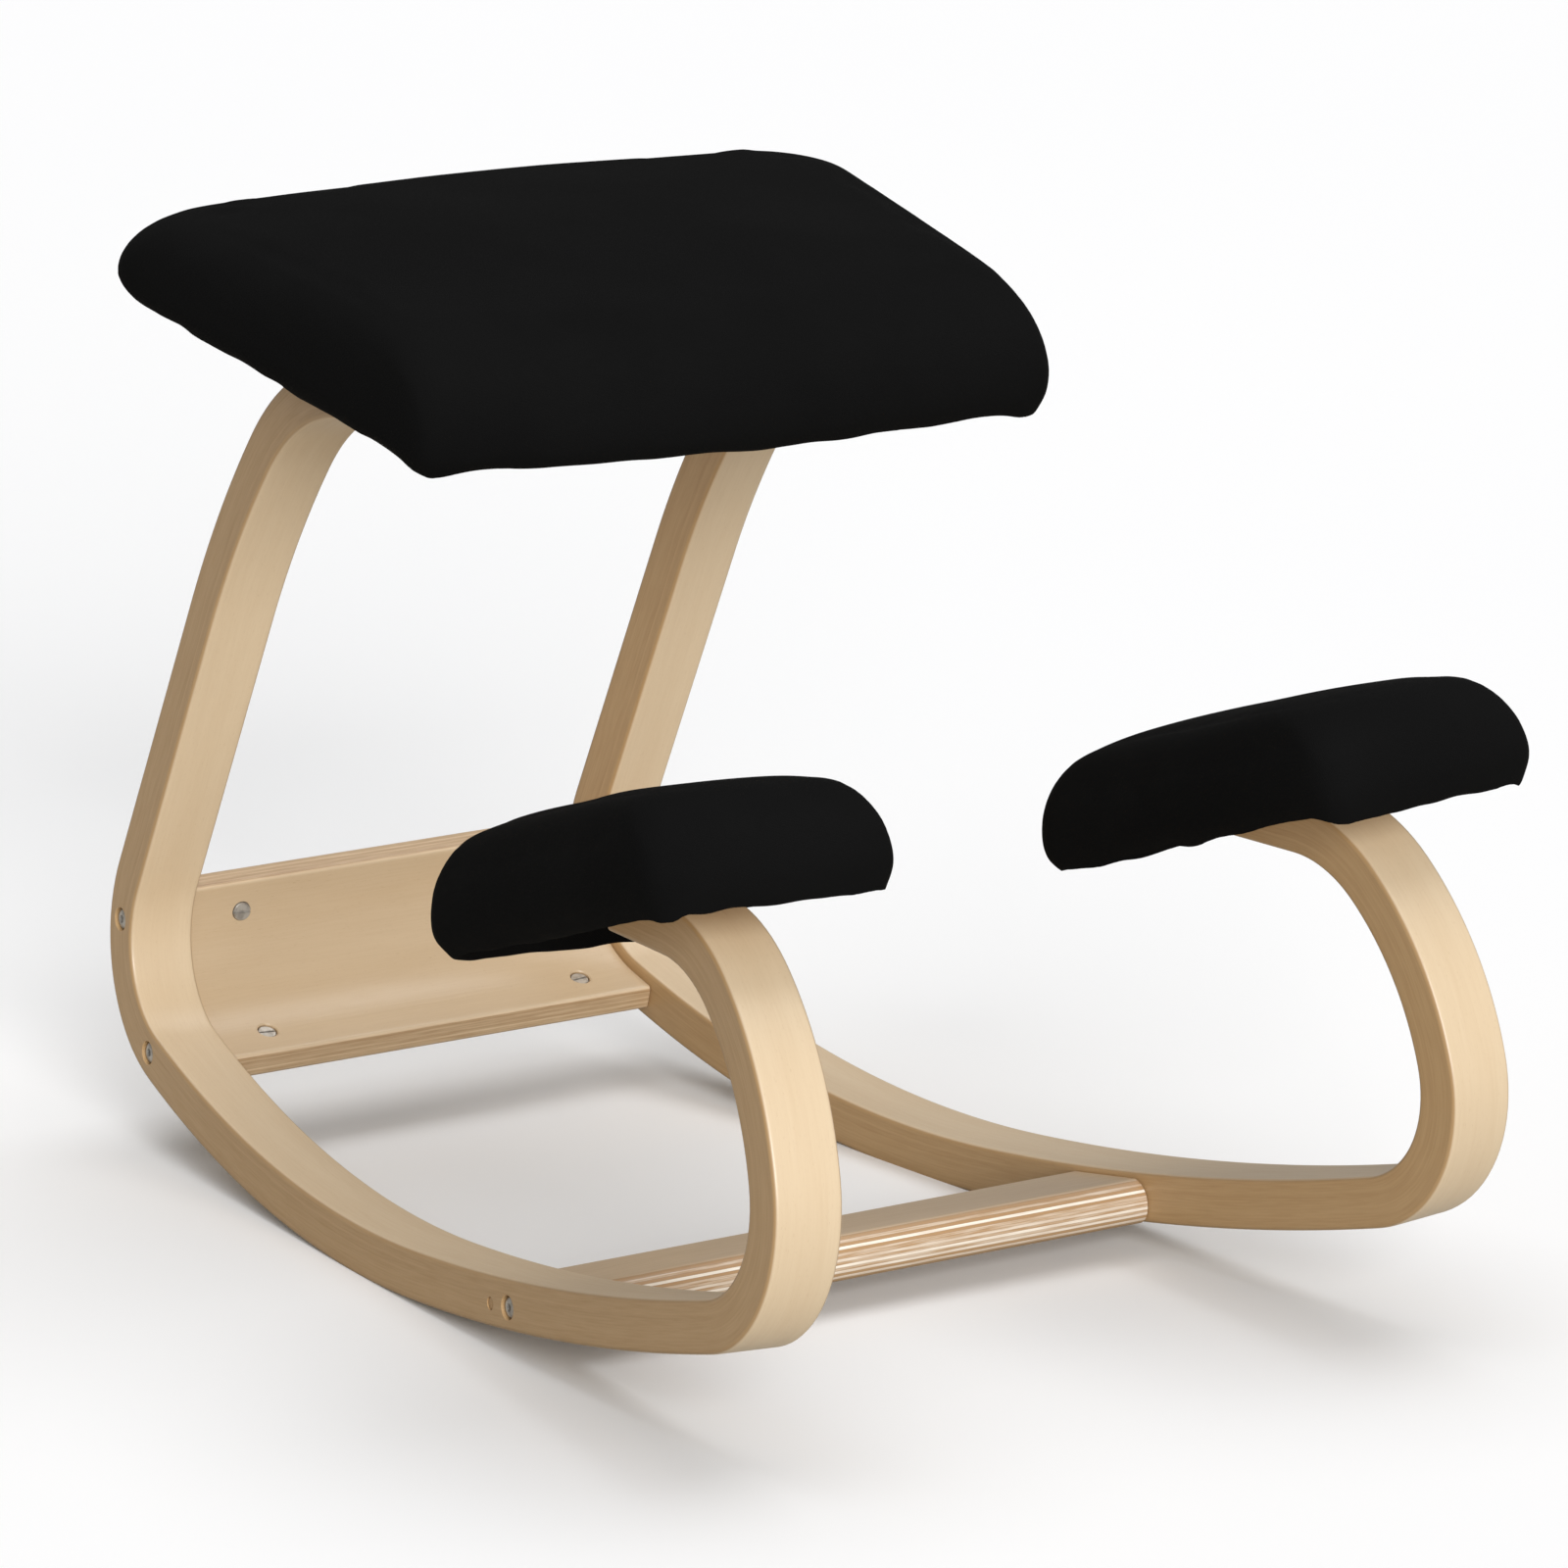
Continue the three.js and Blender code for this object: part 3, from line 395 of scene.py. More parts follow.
@dataclass
class ChairPlan:
    """The middle lines of the runners and the frames that all pieces are placed in."""

    strip_width: float = 36 * MM
    strip_thickness: float = 26 * MM
    leg_half_spacing: float = 140.7 * MM
    splay: float = 4.93
    clearance: float = 0.3 * MM
    rail_planing: float = 0.8 * MM
    knee_slope: float = 18.3
    seat_rail: float = 60 * MM
    knee_rail: float = 54 * MM
    crossbar_distance: float = 167 * MM
    crossbar_drop: float = 1.5 * MM
    nut_from_face: float = 32 * MM
    front: MiddleLine = field(init=False)
    rear: MiddleLine = field(init=False)
    runner: dict[Side, Matrix] = field(init=False)
    knee: dict[Side, Matrix] = field(init=False)
    seat: Matrix = field(init=False)

    def __post_init__(self) -> None:
        """Lays out the lines, turns each runner about its leg and sets the seat and knee rests."""
        self.front = MiddleLine(
            math.pi,
            -1,
            (
                Stretch(748 * MM, 5),
                Stretch(1680 * MM, 10.47),
                Stretch(66.2 * MM, 88.84),
                Stretch(154 * MM, 35.8),
                Stretch(80.6 * MM, 40.6),
                Stretch(straight=self.knee_rail),
            ),
        )
        self.rear = MiddleLine(
            0.0,
            1,
            (
                Stretch(748 * MM, 6.24),
                Stretch(703 * MM, 13.12),
                Stretch(61.4 * MM, 79.58),
                Stretch(76.5 * MM, 18.35),
                Stretch(straight=175 * MM),
                Stretch(518 * MM, 12.7),
                Stretch(131 * MM, 57.8),
                Stretch(straight=self.seat_rail),
            ),
        )
        leg = self.rear.start_of(4)
        foot = self.rear.place(leg, 0, 0)
        self.runner = {}
        for side in Side:
            stand = Vector((side.value * self.leg_half_spacing, foot.y, foot.z))
            turn = Matrix.Rotation(math.radians(side.value * self.splay), 4, self.rear.forward(leg))
            self.runner[side] = Matrix.Translation(stand) @ turn @ Matrix.Translation(-foot)
        self._stand_where_the_frame_stands()
        self._set_seat()
        self._set_knees()

    def _stand_where_the_frame_stands(self) -> None:
        """Shifts the plan so that the crossbar's left barrel nut is where the CAD model has it."""
        low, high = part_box("crossbar_nut_left")
        lateral = -self.strip_width / 2 - self.nut_from_face
        nut = self.runner[Side.LEFT] @ self.front.place(
            self.crossbar_distance, -self.crossbar_drop, lateral
        )
        shift = (low + high) / 2 - nut
        shift.x = 0.0
        for side in Side:
            self.runner[side] = Matrix.Translation(shift) @ self.runner[side]

    def _set_seat(self) -> None:
        """Sets the seat's frame on the planed rails: z = 0 is the underside of its board."""
        top = -self.strip_thickness / 2
        left = self.runner[Side.LEFT]
        rear = left @ self.rear.place(self.rear.length - self.seat_rail, top, 0)
        front = left @ self.rear.place(self.rear.length, top, 0)
        rise = rear - front
        turn = Matrix.Rotation(math.atan2(rise.z, rise.y), 4, "X")
        front.x = 0.0
        up = turn @ UPWARD
        self.seat = Matrix.Translation(front + up * (self.clearance - self.rail_planing)) @ turn

    def _set_knees(self) -> None:
        """Sets each knee rest's frame on the bevelled end of its runner."""
        start = self.front.length - self.knee_rail
        turn = Matrix.Rotation(-math.radians(self.knee_slope), 4, "X")
        rest = self.front.place(start, -self.strip_thickness / 2, 0)
        rest += (turn @ UPWARD) * (self.clearance - self.rail_planing)
        self.knee = {side: self.runner[side] @ Matrix.Translation(rest) @ turn for side in Side}

    def unroll(self, points: np.ndarray) -> np.ndarray:
        """Measures points of a runner's frame along its middle line.

        Args:
            points: Places in a runner's own frame, one row each.

        Returns:
            Rows of distance along the line (negative in front), inward and lateral distance.
        """
        step, batch = 1.5 * MM, 4096
        stations = []
        for line, sign in ((self.front, -1), (self.rear, 1)):
            for distance in np.arange(0.0, line.length + step, step):
                spot, angle = line.at(min(distance, line.length))
                ahead = np.array([math.cos(angle), math.sin(angle)])
                inside = line.left_of(angle) * line.hand
                stations.append((distance * sign, *spot, *(ahead * sign), *inside))
        table = np.array(stations)
        flat = points[:, 1:]
        nearest = np.empty(len(flat), int)
        for start in range(0, len(flat), batch):
            part = flat[start : start + batch]
            gap = ((part[:, None, :] - table[None, :, 1:3]) ** 2).sum(2)
            nearest[start : start + batch] = gap.argmin(1)
        near = table[nearest]
        off = flat - near[:, 1:3]
        distance = near[:, 0] + (off * near[:, 3:5]).sum(1)
        inward = (off * near[:, 5:7]).sum(1)
        return np.stack([distance, inward, points[:, 0]], 1)

    def onto_inner_face(self, points: np.ndarray) -> np.ndarray:
        """Slides points of the chair's frame along X onto the left runner's inner face.

        Args:
            points: Places in the chair's frame, one row each.

        Returns:
            The places in the left runner's frame.
        """
        back = np.array(self.runner[Side.LEFT].inverted())
        face = -self.strip_width / 2 - self.clearance
        lateral = points @ back[0, :3] + back[0, 3]
        slid = points.copy()
        slid[:, 0] += (face - lateral) / back[0, 0]
        return slid @ back[:3, :3].T + back[:3, 3]


def rounded_section(width: float, thickness: float, radius: float, steps: int = 4) -> Profile:
    """Outlines a bar's section, with a point beside each fillet that keeps the flats flat.

    Args:
        width: The whole width.
        thickness: The whole thickness.
        radius: The fillets' radius.
        steps: The number of steps in a fillet.

    Returns:
        Pairs of place across the width and through the thickness, counter-clockwise.
    """
    points = []
    hold = 0.5 * radius
    for number, (sx, sy) in enumerate(((1, 1), (-1, 1), (-1, -1), (1, -1))):
        centre = (sx * (width / 2 - radius), sy * (thickness / 2 - radius))
        first = number * math.pi / 2
        arc = []
        for step in range(steps + 1):
            angle = first + step * math.pi / 2 / steps
            arc.append((centre[0] + radius * math.cos(angle), centre[1] + radius * math.sin(angle)))
        entry = (arc[0][0] + hold * math.sin(first), arc[0][1] - hold * math.cos(first))
        last = first + math.pi / 2
        leave = (arc[-1][0] - hold * math.sin(last), arc[-1][1] + hold * math.cos(last))
        points += [entry, *arc, leave]
    return points


# Shader groups: each puts out colours, masks or values that change over the surface


class Effect:
    """Builds one shader node group and keeps it for all the materials that use it."""

    def __init__(
        self, name: str, inputs: Sequence[tuple[str, str, object]], outputs: Sequence[tuple[str, str]]
    ) -> None:
        """Opens a group.

        Args:
            name: The group's name.
            inputs: Name, socket type and starting value of each input.
            outputs: Name and socket type of each output.
        """
        self.tree = bpy.data.node_groups.new(name, "ShaderNodeTree")
        for label, kind, value in inputs:
            socket = self.tree.interface.new_socket(label, in_out="INPUT", socket_type=kind)
            if value is not None:
                socket.default_value = value
        for label, kind in outputs:
            self.tree.interface.new_socket(label, in_out="OUTPUT", socket_type=kind)
        self.source = self.tree.nodes.new("NodeGroupInput")
        self.result = self.tree.nodes.new("NodeGroupOutput")

    def give(self, label: str, socket: Socket) -> None:
        """Joins a socket to one of the group's outputs."""
        self.tree.links.new(socket, self.result.inputs[label])

    def take(self, label: str) -> Socket:
        """Returns the socket of one of the group's inputs."""
        return self.source.outputs[label]


@dataclass
class Wiring:
    """Short ways to place nodes in a tree."""

    tree: bpy.types.NodeTree

    def node(self, kind: str, values: object = (), **settings: object) -> bpy.types.Node:
        """Adds a node.

        Args:
            kind: The node's type.
            values: Values or sockets for its inputs, in order or by name or number.
            settings: Its properties.

        Returns:
            The node.
        """
        made = self.tree.nodes.new(kind)
        for name, value in settings.items():
            setattr(made, name, value)
        for key, value in values.items() if isinstance(values, dict) else enumerate(values):
            self.feed(made.inputs[key], value)
        return made

    def feed(self, socket: Socket, value: object) -> None:
        """Links a socket to another one, or sets its value.

        Args:
            socket: The socket to feed.
            value: Another socket or a value.
        """
        if isinstance(value, Socket):
            self.tree.links.new(value, socket)
        else:
            socket.default_value = value

    def math(self, operation: str, *values: object) -> Socket:
        """Adds a Math node and returns its value."""
        return self.node("ShaderNodeMath", values, operation=operation).outputs[0]

    def vector_math(self, operation: str, *values: object) -> Socket:
        """Adds a Vector Math node and returns its vector."""
        return self.node("ShaderNodeVectorMath", values, operation=operation).outputs[0]

    def blend(self, share: object, first: object, second: object) -> Socket:
        """Mixes two colours and returns the colour."""
        colours = {0: share, 6: first, 7: second}
        return self.node("ShaderNodeMix", colours, data_type="RGBA").outputs[2]

    def ramp(
        self, value: object, low: object, high: object, to_low: float = 0.0, to_high: float = 1.0
    ) -> Socket:
        """Maps a range of values to another, smoothly and held at its ends."""
        values = (value, low, high, to_low, to_high)
        return self.node("ShaderNodeMapRange", values, interpolation_type="SMOOTHSTEP").outputs[0]

    def noise(self, place: object, scale: float, detail: float, roughness: float = 0.5) -> Socket:
        """Adds a Noise Texture and returns its value."""
        values = {"Vector": place, "Scale": scale, "Detail": detail, "Roughness": roughness}
        return self.node("ShaderNodeTexNoise", values).outputs[0]

    def split(self, vector: object) -> list[Socket]:
        """Returns the three parts of a vector."""
        return list(self.node("ShaderNodeSeparateXYZ", (vector,)).outputs)

    def join(self, *parts: object) -> Socket:
        """Returns a vector of three parts."""
        return self.node("ShaderNodeCombineXYZ", parts).outputs[0]

    def bump(self, height: object, distance: float, strength: float) -> Socket:
        """Adds a Bump node and returns its normal."""
        values = {"Height": height, "Distance": distance, "Strength": strength}
        return self.node("ShaderNodeBump", values).outputs[0]

    def effect(self, group: Effect, **values: object) -> bpy.types.Node:
        """Places a node group, with values for its inputs by name."""
        named = {name.replace("_", " ").capitalize(): value for name, value in values.items()}
        return self.node("ShaderNodeGroup", named, node_tree=group.tree)


def figure_effect() -> Effect:
    """Builds the figure of rotary-cut veneer: long soft flames, fine fibres and short pores.

    Returns:
        The shader group.
    """
    group = Effect(
        "Veneer figure",
        [
            ("Grain", VECTOR, None),
            ("Flame length", FLOAT, 0.22),
            ("Flame width", FLOAT, 0.016),
            ("Seed", FLOAT, 0.0),
        ],
        [("Flames", FLOAT), ("Fibres", FLOAT), ("Pores", FLOAT)],
    )
    w = Wiring(group.tree)
    along, through, across = w.split(group.take("Grain"))
    seed_step, deep_scale, pore_range = 3.7, 22.0, (0.66, 0.76)
    seed = w.math("MULTIPLY", group.take("Seed"), seed_step)
    long_share = w.math("DIVIDE", along, group.take("Flame length"))
    wide_share = w.math("DIVIDE", across, group.take("Flame width"))
    deep_share = w.math("MULTIPLY", through, deep_scale)
    flame_place = w.join(w.math("ADD", long_share, seed), wide_share, w.math("ADD", deep_share, seed))
    flames = w.noise(flame_place, 1.0, 3.0, 0.55)

    def streaks(along_scale: float, across_scale: float, detail: float, roughness: float) -> Socket:
        """Draws noise out along the grain.

        Args:
            along_scale: The streaks in a metre along the grain.
            across_scale: The streaks in a metre across it.
            detail: The noise's detail.
            roughness: The noise's roughness.

        Returns:
            The noise's value.
        """
        place = w.join(
            w.math("MULTIPLY", along, along_scale),
            w.math("MULTIPLY", through, across_scale),
            w.math("MULTIPLY", across, across_scale),
        )
        return w.noise(place, 1.0, detail, roughness)

    pores = streaks(along_scale=320.0, across_scale=2600.0, detail=1.0, roughness=0.5)
    group.give("Flames", flames)
    group.give("Fibres", streaks(along_scale=42.0, across_scale=900.0, detail=3.0, roughness=0.6))
    group.give("Pores", w.ramp(pores, *pore_range))
    return group


def plies_effect() -> Effect:
    """Builds the layers of laminated wood, seen where a face cuts across them.

    Returns:
        The shader group.
    """
    group = Effect(
        "Plies",
        [
            ("Grain", VECTOR, None),
            ("Pitch", FLOAT, 0.0015),
            ("Offset", FLOAT, 0.0),
            ("Line width", FLOAT, 0.12),
        ],
        [("Line", FLOAT), ("Tone", FLOAT), ("Alternate", FLOAT)],
    )
    w = Wiring(group.tree)
    along, through, across = w.split(group.take("Grain"))
    waves, drift = 9.0, 0.35 * MM
    wave_place = w.join(w.math("MULTIPLY", along, waves), 0.0, w.math("MULTIPLY", across, waves))
    wander = w.noise(wave_place, 1.0, 1.0)
    shifted = w.math("ADD", through, w.math("MULTIPLY", w.math("SUBTRACT", wander, 0.5), drift))
    layers = w.math("ADD", w.math("DIVIDE", shifted, group.take("Pitch")), group.take("Offset"))
    number = w.math("FLOOR", layers)
    place_in_layer = w.math("ABSOLUTE", w.math("SUBTRACT", w.math("FRACT", layers), 0.5))
    edge = w.math("SUBTRACT", 0.5, group.take("Line width"))
    line = w.ramp(place_in_layer, edge, 0.5)
    chance = w.node("ShaderNodeTexWhiteNoise", {"W": number}, noise_dimensions="1D")
    alternate = w.math("PINGPONG", number, 1.0)
    group.give("Line", line)
    group.give("Tone", chance.outputs["Value"])
    group.give("Alternate", alternate)
    return group


def arris_effect() -> Effect:
    """Builds the mask of a bar's long edges, where the runners get a painted shade line and the panel and
    crossbar a painted highlight.

    Returns:
        The shader group.
    """
    group = Effect(
        "Arris",
        [
            ("Grain", VECTOR, None),
            ("Half thickness", FLOAT, 0.013),
            ("Half width", FLOAT, 0.018),
            ("Reach", FLOAT, 0.0017),
        ],
        [("Arris", FLOAT), ("Ply edge", FLOAT)],
    )
    w = Wiring(group.tree)
    _, through, across = w.split(group.take("Grain"))
    below_face = w.math("SUBTRACT", group.take("Half thickness"), w.math("ABSOLUTE", through))
    below_side = w.math("SUBTRACT", group.take("Half width"), w.math("ABSOLUTE", across))
    deeper = w.math("MAXIMUM", below_face, below_side)
    reach, full_share, veneer = group.take("Reach"), 0.25, (0.3 * MM, 0.9 * MM)
    arris = w.ramp(deeper, w.math("MULTIPLY", reach, full_share), reach, 1.0, 0.0)
    ply_edge = w.ramp(below_face, *veneer)
    group.give("Arris", arris)
    group.give("Ply edge", ply_edge)
    return group


def weave_effect() -> Effect:
    """Builds a plain weave on all sides of a piece, from three flat weaves chosen by the normal.

    Returns:
        The shader group.
    """
    group = Effect(
        "Weave",
        [("Thread", FLOAT, 0.0006)],
        [("Height", FLOAT), ("Gaps", FLOAT)],
    )
    w = Wiring(group.tree)
    place = w.node("ShaderNodeTexCoord").outputs["Object"]
    normal = w.node("ShaderNodeNewGeometry").outputs["Normal"]
    thread, choice, crossing_share, gap_range = group.take("Thread"), 6.0, 0.35, (0.35, 0.8)
    parts = w.split(w.vector_math("DIVIDE", place, w.join(thread, thread, thread)))
    weights = [w.math("POWER", w.math("ABSOLUTE", part), choice) for part in w.split(normal)]
    total = w.math("ADD", w.math("ADD", weights[0], weights[1]), weights[2])
    height: object = 0.0
    for weight, (u, v) in zip(weights, ((1, 2), (0, 2), (0, 1))):
        across = w.math("SINE", w.math("MULTIPLY", parts[u], math.pi))
        along = w.math("SINE", w.math("MULTIPLY", parts[v], math.pi))
        crossing = w.math("MULTIPLY", across, along)
        threads = w.math("MAXIMUM", w.math("ABSOLUTE", across), w.math("ABSOLUTE", along))
        flat = w.math("MULTIPLY_ADD", crossing, crossing_share, threads)
        height = w.math("MULTIPLY_ADD", flat, w.math("DIVIDE", weight, total), height)
    group.give("Height", height)
    group.give("Gaps", w.ramp(height, *gap_range, 1.0, 0.0))
    return group


@dataclass
class Effects:
    """The shader groups that the finishes share."""

    figure: Effect = field(default_factory=figure_effect)
    plies: Effect = field(default_factory=plies_effect)
    arris: Effect = field(default_factory=arris_effect)
    weave: Effect = field(default_factory=weave_effect)


def linear(colour: Colour) -> tuple[float, float, float, float]:
    """Turns a colour of 0 to 255 as a screen shows it into the shader's linear values."""
    shares = [part / 255 for part in colour]
    return (*[s / 12.92 if s <= 0.04045 else ((s + 0.055) / 1.055) ** 2.4 for s in shares], 1.0)


def new_material(name: str) -> tuple[bpy.types.Material, Wiring, bpy.types.Node]:
    """Opens a material.

    Args:
        name: The material's name.

    Returns:
        The material, its wiring, and its Principled BSDF.
    """
    made = bpy.data.materials.new(name)
    made.use_nodes = True
    shader = next(n for n in made.node_tree.nodes if n.type == "BSDF_PRINCIPLED")
    return made, Wiring(made.node_tree), shader


@dataclass(frozen=True)
class LaminateFinish:
    """Clear-lacquered laminated wood: veneer on its broad faces, plies on its cut edges."""

    name: str
    face: Colour
    face_dark: Colour
    edge_light: Colour
    edge_dark: Colour
    line: Colour
    # Colour painted along the long edges: a shade line on the runners, a highlight on the panel and crossbar
    arris: Colour
    half_thickness: float
    half_width: float
    pitch: float
    offset: float = 0.5
    line_share: float = 0.5
    layer_share: float = 0.5
    alternate_share: float = 0.3
    flame_share: float = 0.32
    fibre_share: float = 0.22
    flame_range: Range = (0.32, 0.72)
    fibre_range: Range = (0.3, 0.75)
    flame_length: float = 0.22
    flame_width: float = 0.016
    roughness: float = 0.42
    roughness_spread: float = 0.1
    coat: float = 0.35
    coat_roughness: float = 0.3
    pore_share: float = 0.22
    edge_fibre_share: float = 0.4
    arris_share: float = 0.45
    relief: float = 0.12 * MM
    relief_strength: float = 0.35
    line_relief: float = 0.8
    seed: float = 0.0

    def build(self, effects: Effects) -> bpy.types.Material:
        """Builds the material.

        Args:
            effects: The shared shader groups.

        Returns:
            The new material.
        """
        made, w, shader = new_material(self.name)
        grain = w.node("ShaderNodeAttribute", attribute_name=GRAIN).outputs["Vector"]
        figure = w.effect(
            effects.figure,
            grain=grain,
            flame_length=self.flame_length,
            flame_width=self.flame_width,
            seed=self.seed,
        )
        plies = w.effect(effects.plies, grain=grain, pitch=self.pitch, offset=self.offset)
        arris = w.effect(
            effects.arris, grain=grain, half_thickness=self.half_thickness, half_width=self.half_width
        )
        flames = w.ramp(figure.outputs["Flames"], *self.flame_range)
        fibres = w.ramp(figure.outputs["Fibres"], *self.fibre_range)
        face_tone = w.math("MULTIPLY", fibres, self.fibre_share)
        face_tone = w.math("MULTIPLY_ADD", flames, self.flame_share, face_tone)
        face = w.blend(face_tone, linear(self.face), linear(self.face_dark))
        pores = w.math("MULTIPLY", figure.outputs["Pores"], self.pore_share)
        face = w.blend(pores, face, linear(self.edge_dark))
        shade = w.math("MULTIPLY", fibres, self.edge_fibre_share)
        shade = w.math("MULTIPLY_ADD", plies.outputs["Tone"], self.layer_share, shade)
        shade = w.math("MULTIPLY_ADD", plies.outputs["Alternate"], self.alternate_share, shade)
        edge = w.blend(shade, linear(self.edge_light), linear(self.edge_dark))
        edge = w.blend(w.math("MULTIPLY", plies.outputs["Line"], self.line_share), edge, linear(self.line))
        colour = w.blend(arris.outputs["Ply edge"], face, edge)
        # Paints the edge colour over the long edges: painted shade on the runners, painted highlight on the
        # panel and crossbar
        painted_edge_shading = w.math("MULTIPLY", arris.outputs["Arris"], self.arris_share)
        colour = w.blend(painted_edge_shading, colour, linear(self.arris))
        w.feed(shader.inputs["Base Color"], colour)
        smoothest = self.roughness - self.roughness_spread / 2
        rough = w.math("MULTIPLY_ADD", fibres, self.roughness_spread, smoothest)
        w.feed(shader.inputs["Roughness"], rough)
        shader.inputs["Coat Weight"].default_value = self.coat
        shader.inputs["Coat Roughness"].default_value = self.coat_roughness
        lines = w.math("MULTIPLY", plies.outputs["Line"], self.line_relief)
        height = w.math("SUBTRACT", figure.outputs["Fibres"], lines)
        height = w.math("SUBTRACT", height, figure.outputs["Pores"])
        w.feed(shader.inputs["Normal"], w.bump(height, self.relief, self.relief_strength))
        return made


@dataclass(frozen=True)
class ClothFinish:
    """Matt upholstery cloth in a plain weave."""

    name: str
    colour: Colour
    painted_edge_shading: Colour
    thread: float = 0.6 * MM
    patch_scale: float = 14.0
    patch_range: Range = (0.35, 0.7)
    slub_scale: float = 900.0
    slub_relief: float = 0.6
    roughness: float = 0.9
    roughness_spread: float = 0.08
    specular: float = 0.05
    gap_share: float = 0.6
    gap_shade: float = 0.5
    relief: float = 0.18 * MM
    relief_strength: float = 0.6

    def build(self, effects: Effects) -> bpy.types.Material:
        """Builds the material.

        Args:
            effects: The shared shader groups.

        Returns:
            The new material.
        """
        made, w, shader = new_material(self.name)
        weave = w.effect(effects.weave, thread=self.thread)
        place = w.node("ShaderNodeTexCoord").outputs["Object"]
        patches = w.ramp(w.noise(place, self.patch_scale, 3.0), *self.patch_range)
        slubs = w.noise(place, self.slub_scale, 2.0)
        tone = w.math("MULTIPLY_ADD", slubs, 0.5, w.math("MULTIPLY", patches, 0.5))
        cloth = w.blend(tone, linear(self.colour), linear(self.painted_edge_shading))
        dark = tuple(part * self.gap_shade for part in self.colour)
        colour = w.blend(w.math("MULTIPLY", weave.outputs["Gaps"], self.gap_share), cloth, linear(dark))
        w.feed(shader.inputs["Base Color"], colour)
        smoothest = self.roughness - self.roughness_spread / 2
        rough = w.math("MULTIPLY_ADD", slubs, self.roughness_spread, smoothest)
        w.feed(shader.inputs["Roughness"], rough)
        shader.inputs["Specular IOR Level"].default_value = self.specular
        height = w.math("MULTIPLY_ADD", slubs, self.slub_relief, weave.outputs["Height"])
        w.feed(shader.inputs["Normal"], w.bump(height, self.relief, self.relief_strength))
        return made


@dataclass(frozen=True)
class SteelFinish:
    """Zinc-plated steel with a soft brushed haze."""

    name: str
    colour: Colour
    dull: Colour
    haze_scale: float = 260.0
    haze_range: Range = (0.35, 0.7)
    spot_scale: float = 2400.0
    roughness: float = 0.3
    roughness_spread: float = 0.2
    metallic: float = 0.7
    relief: float = 0.04 * MM
    relief_strength: float = 0.3

    def build(self) -> bpy.types.Material:
        """Builds the material.

        Returns:
            The new material.
        """
        made, w, shader = new_material(self.name)
        place = w.node("ShaderNodeTexCoord").outputs["Object"]
        haze = w.ramp(w.noise(place, self.haze_scale, 3.0), *self.haze_range)
        spots = w.noise(place, self.spot_scale, 2.0)
        w.feed(shader.inputs["Base Color"], w.blend(haze, linear(self.colour), linear(self.dull)))
        rough = w.math("MULTIPLY_ADD", spots, self.roughness_spread, self.roughness)
        w.feed(shader.inputs["Roughness"], rough)
        shader.inputs["Metallic"].default_value = self.metallic
        w.feed(shader.inputs["Normal"], w.bump(spots, self.relief, self.relief_strength))
        return made


@dataclass(frozen=True)
class FloorFinish:
    """Plain pale floor with barely any variation, which throws less light up than it shows."""

    name: str
    colour: Colour
    cloudy: Colour
    thrown: Colour
    cloud_scale: float = 0.8
    roughness: float = 0.95
    specular: float = 0.1

    def build(self) -> bpy.types.Material:
        """Builds the material.

        Returns:
            The new material.
        """
        made, w, shader = new_material(self.name)
        place = w.node("ShaderNodeTexCoord").outputs["Object"]
        clouds = w.noise(place, self.cloud_scale, 2.0)
        shown = w.blend(clouds, linear(self.colour), linear(self.cloudy))
        seen = w.node("ShaderNodeLightPath").outputs["Is Camera Ray"]
        w.feed(shader.inputs["Base Color"], w.blend(seen, linear(self.thrown), shown))
        shader.inputs["Roughness"].default_value = self.roughness
        shader.inputs["Specular IOR Level"].default_value = self.specular
        return made


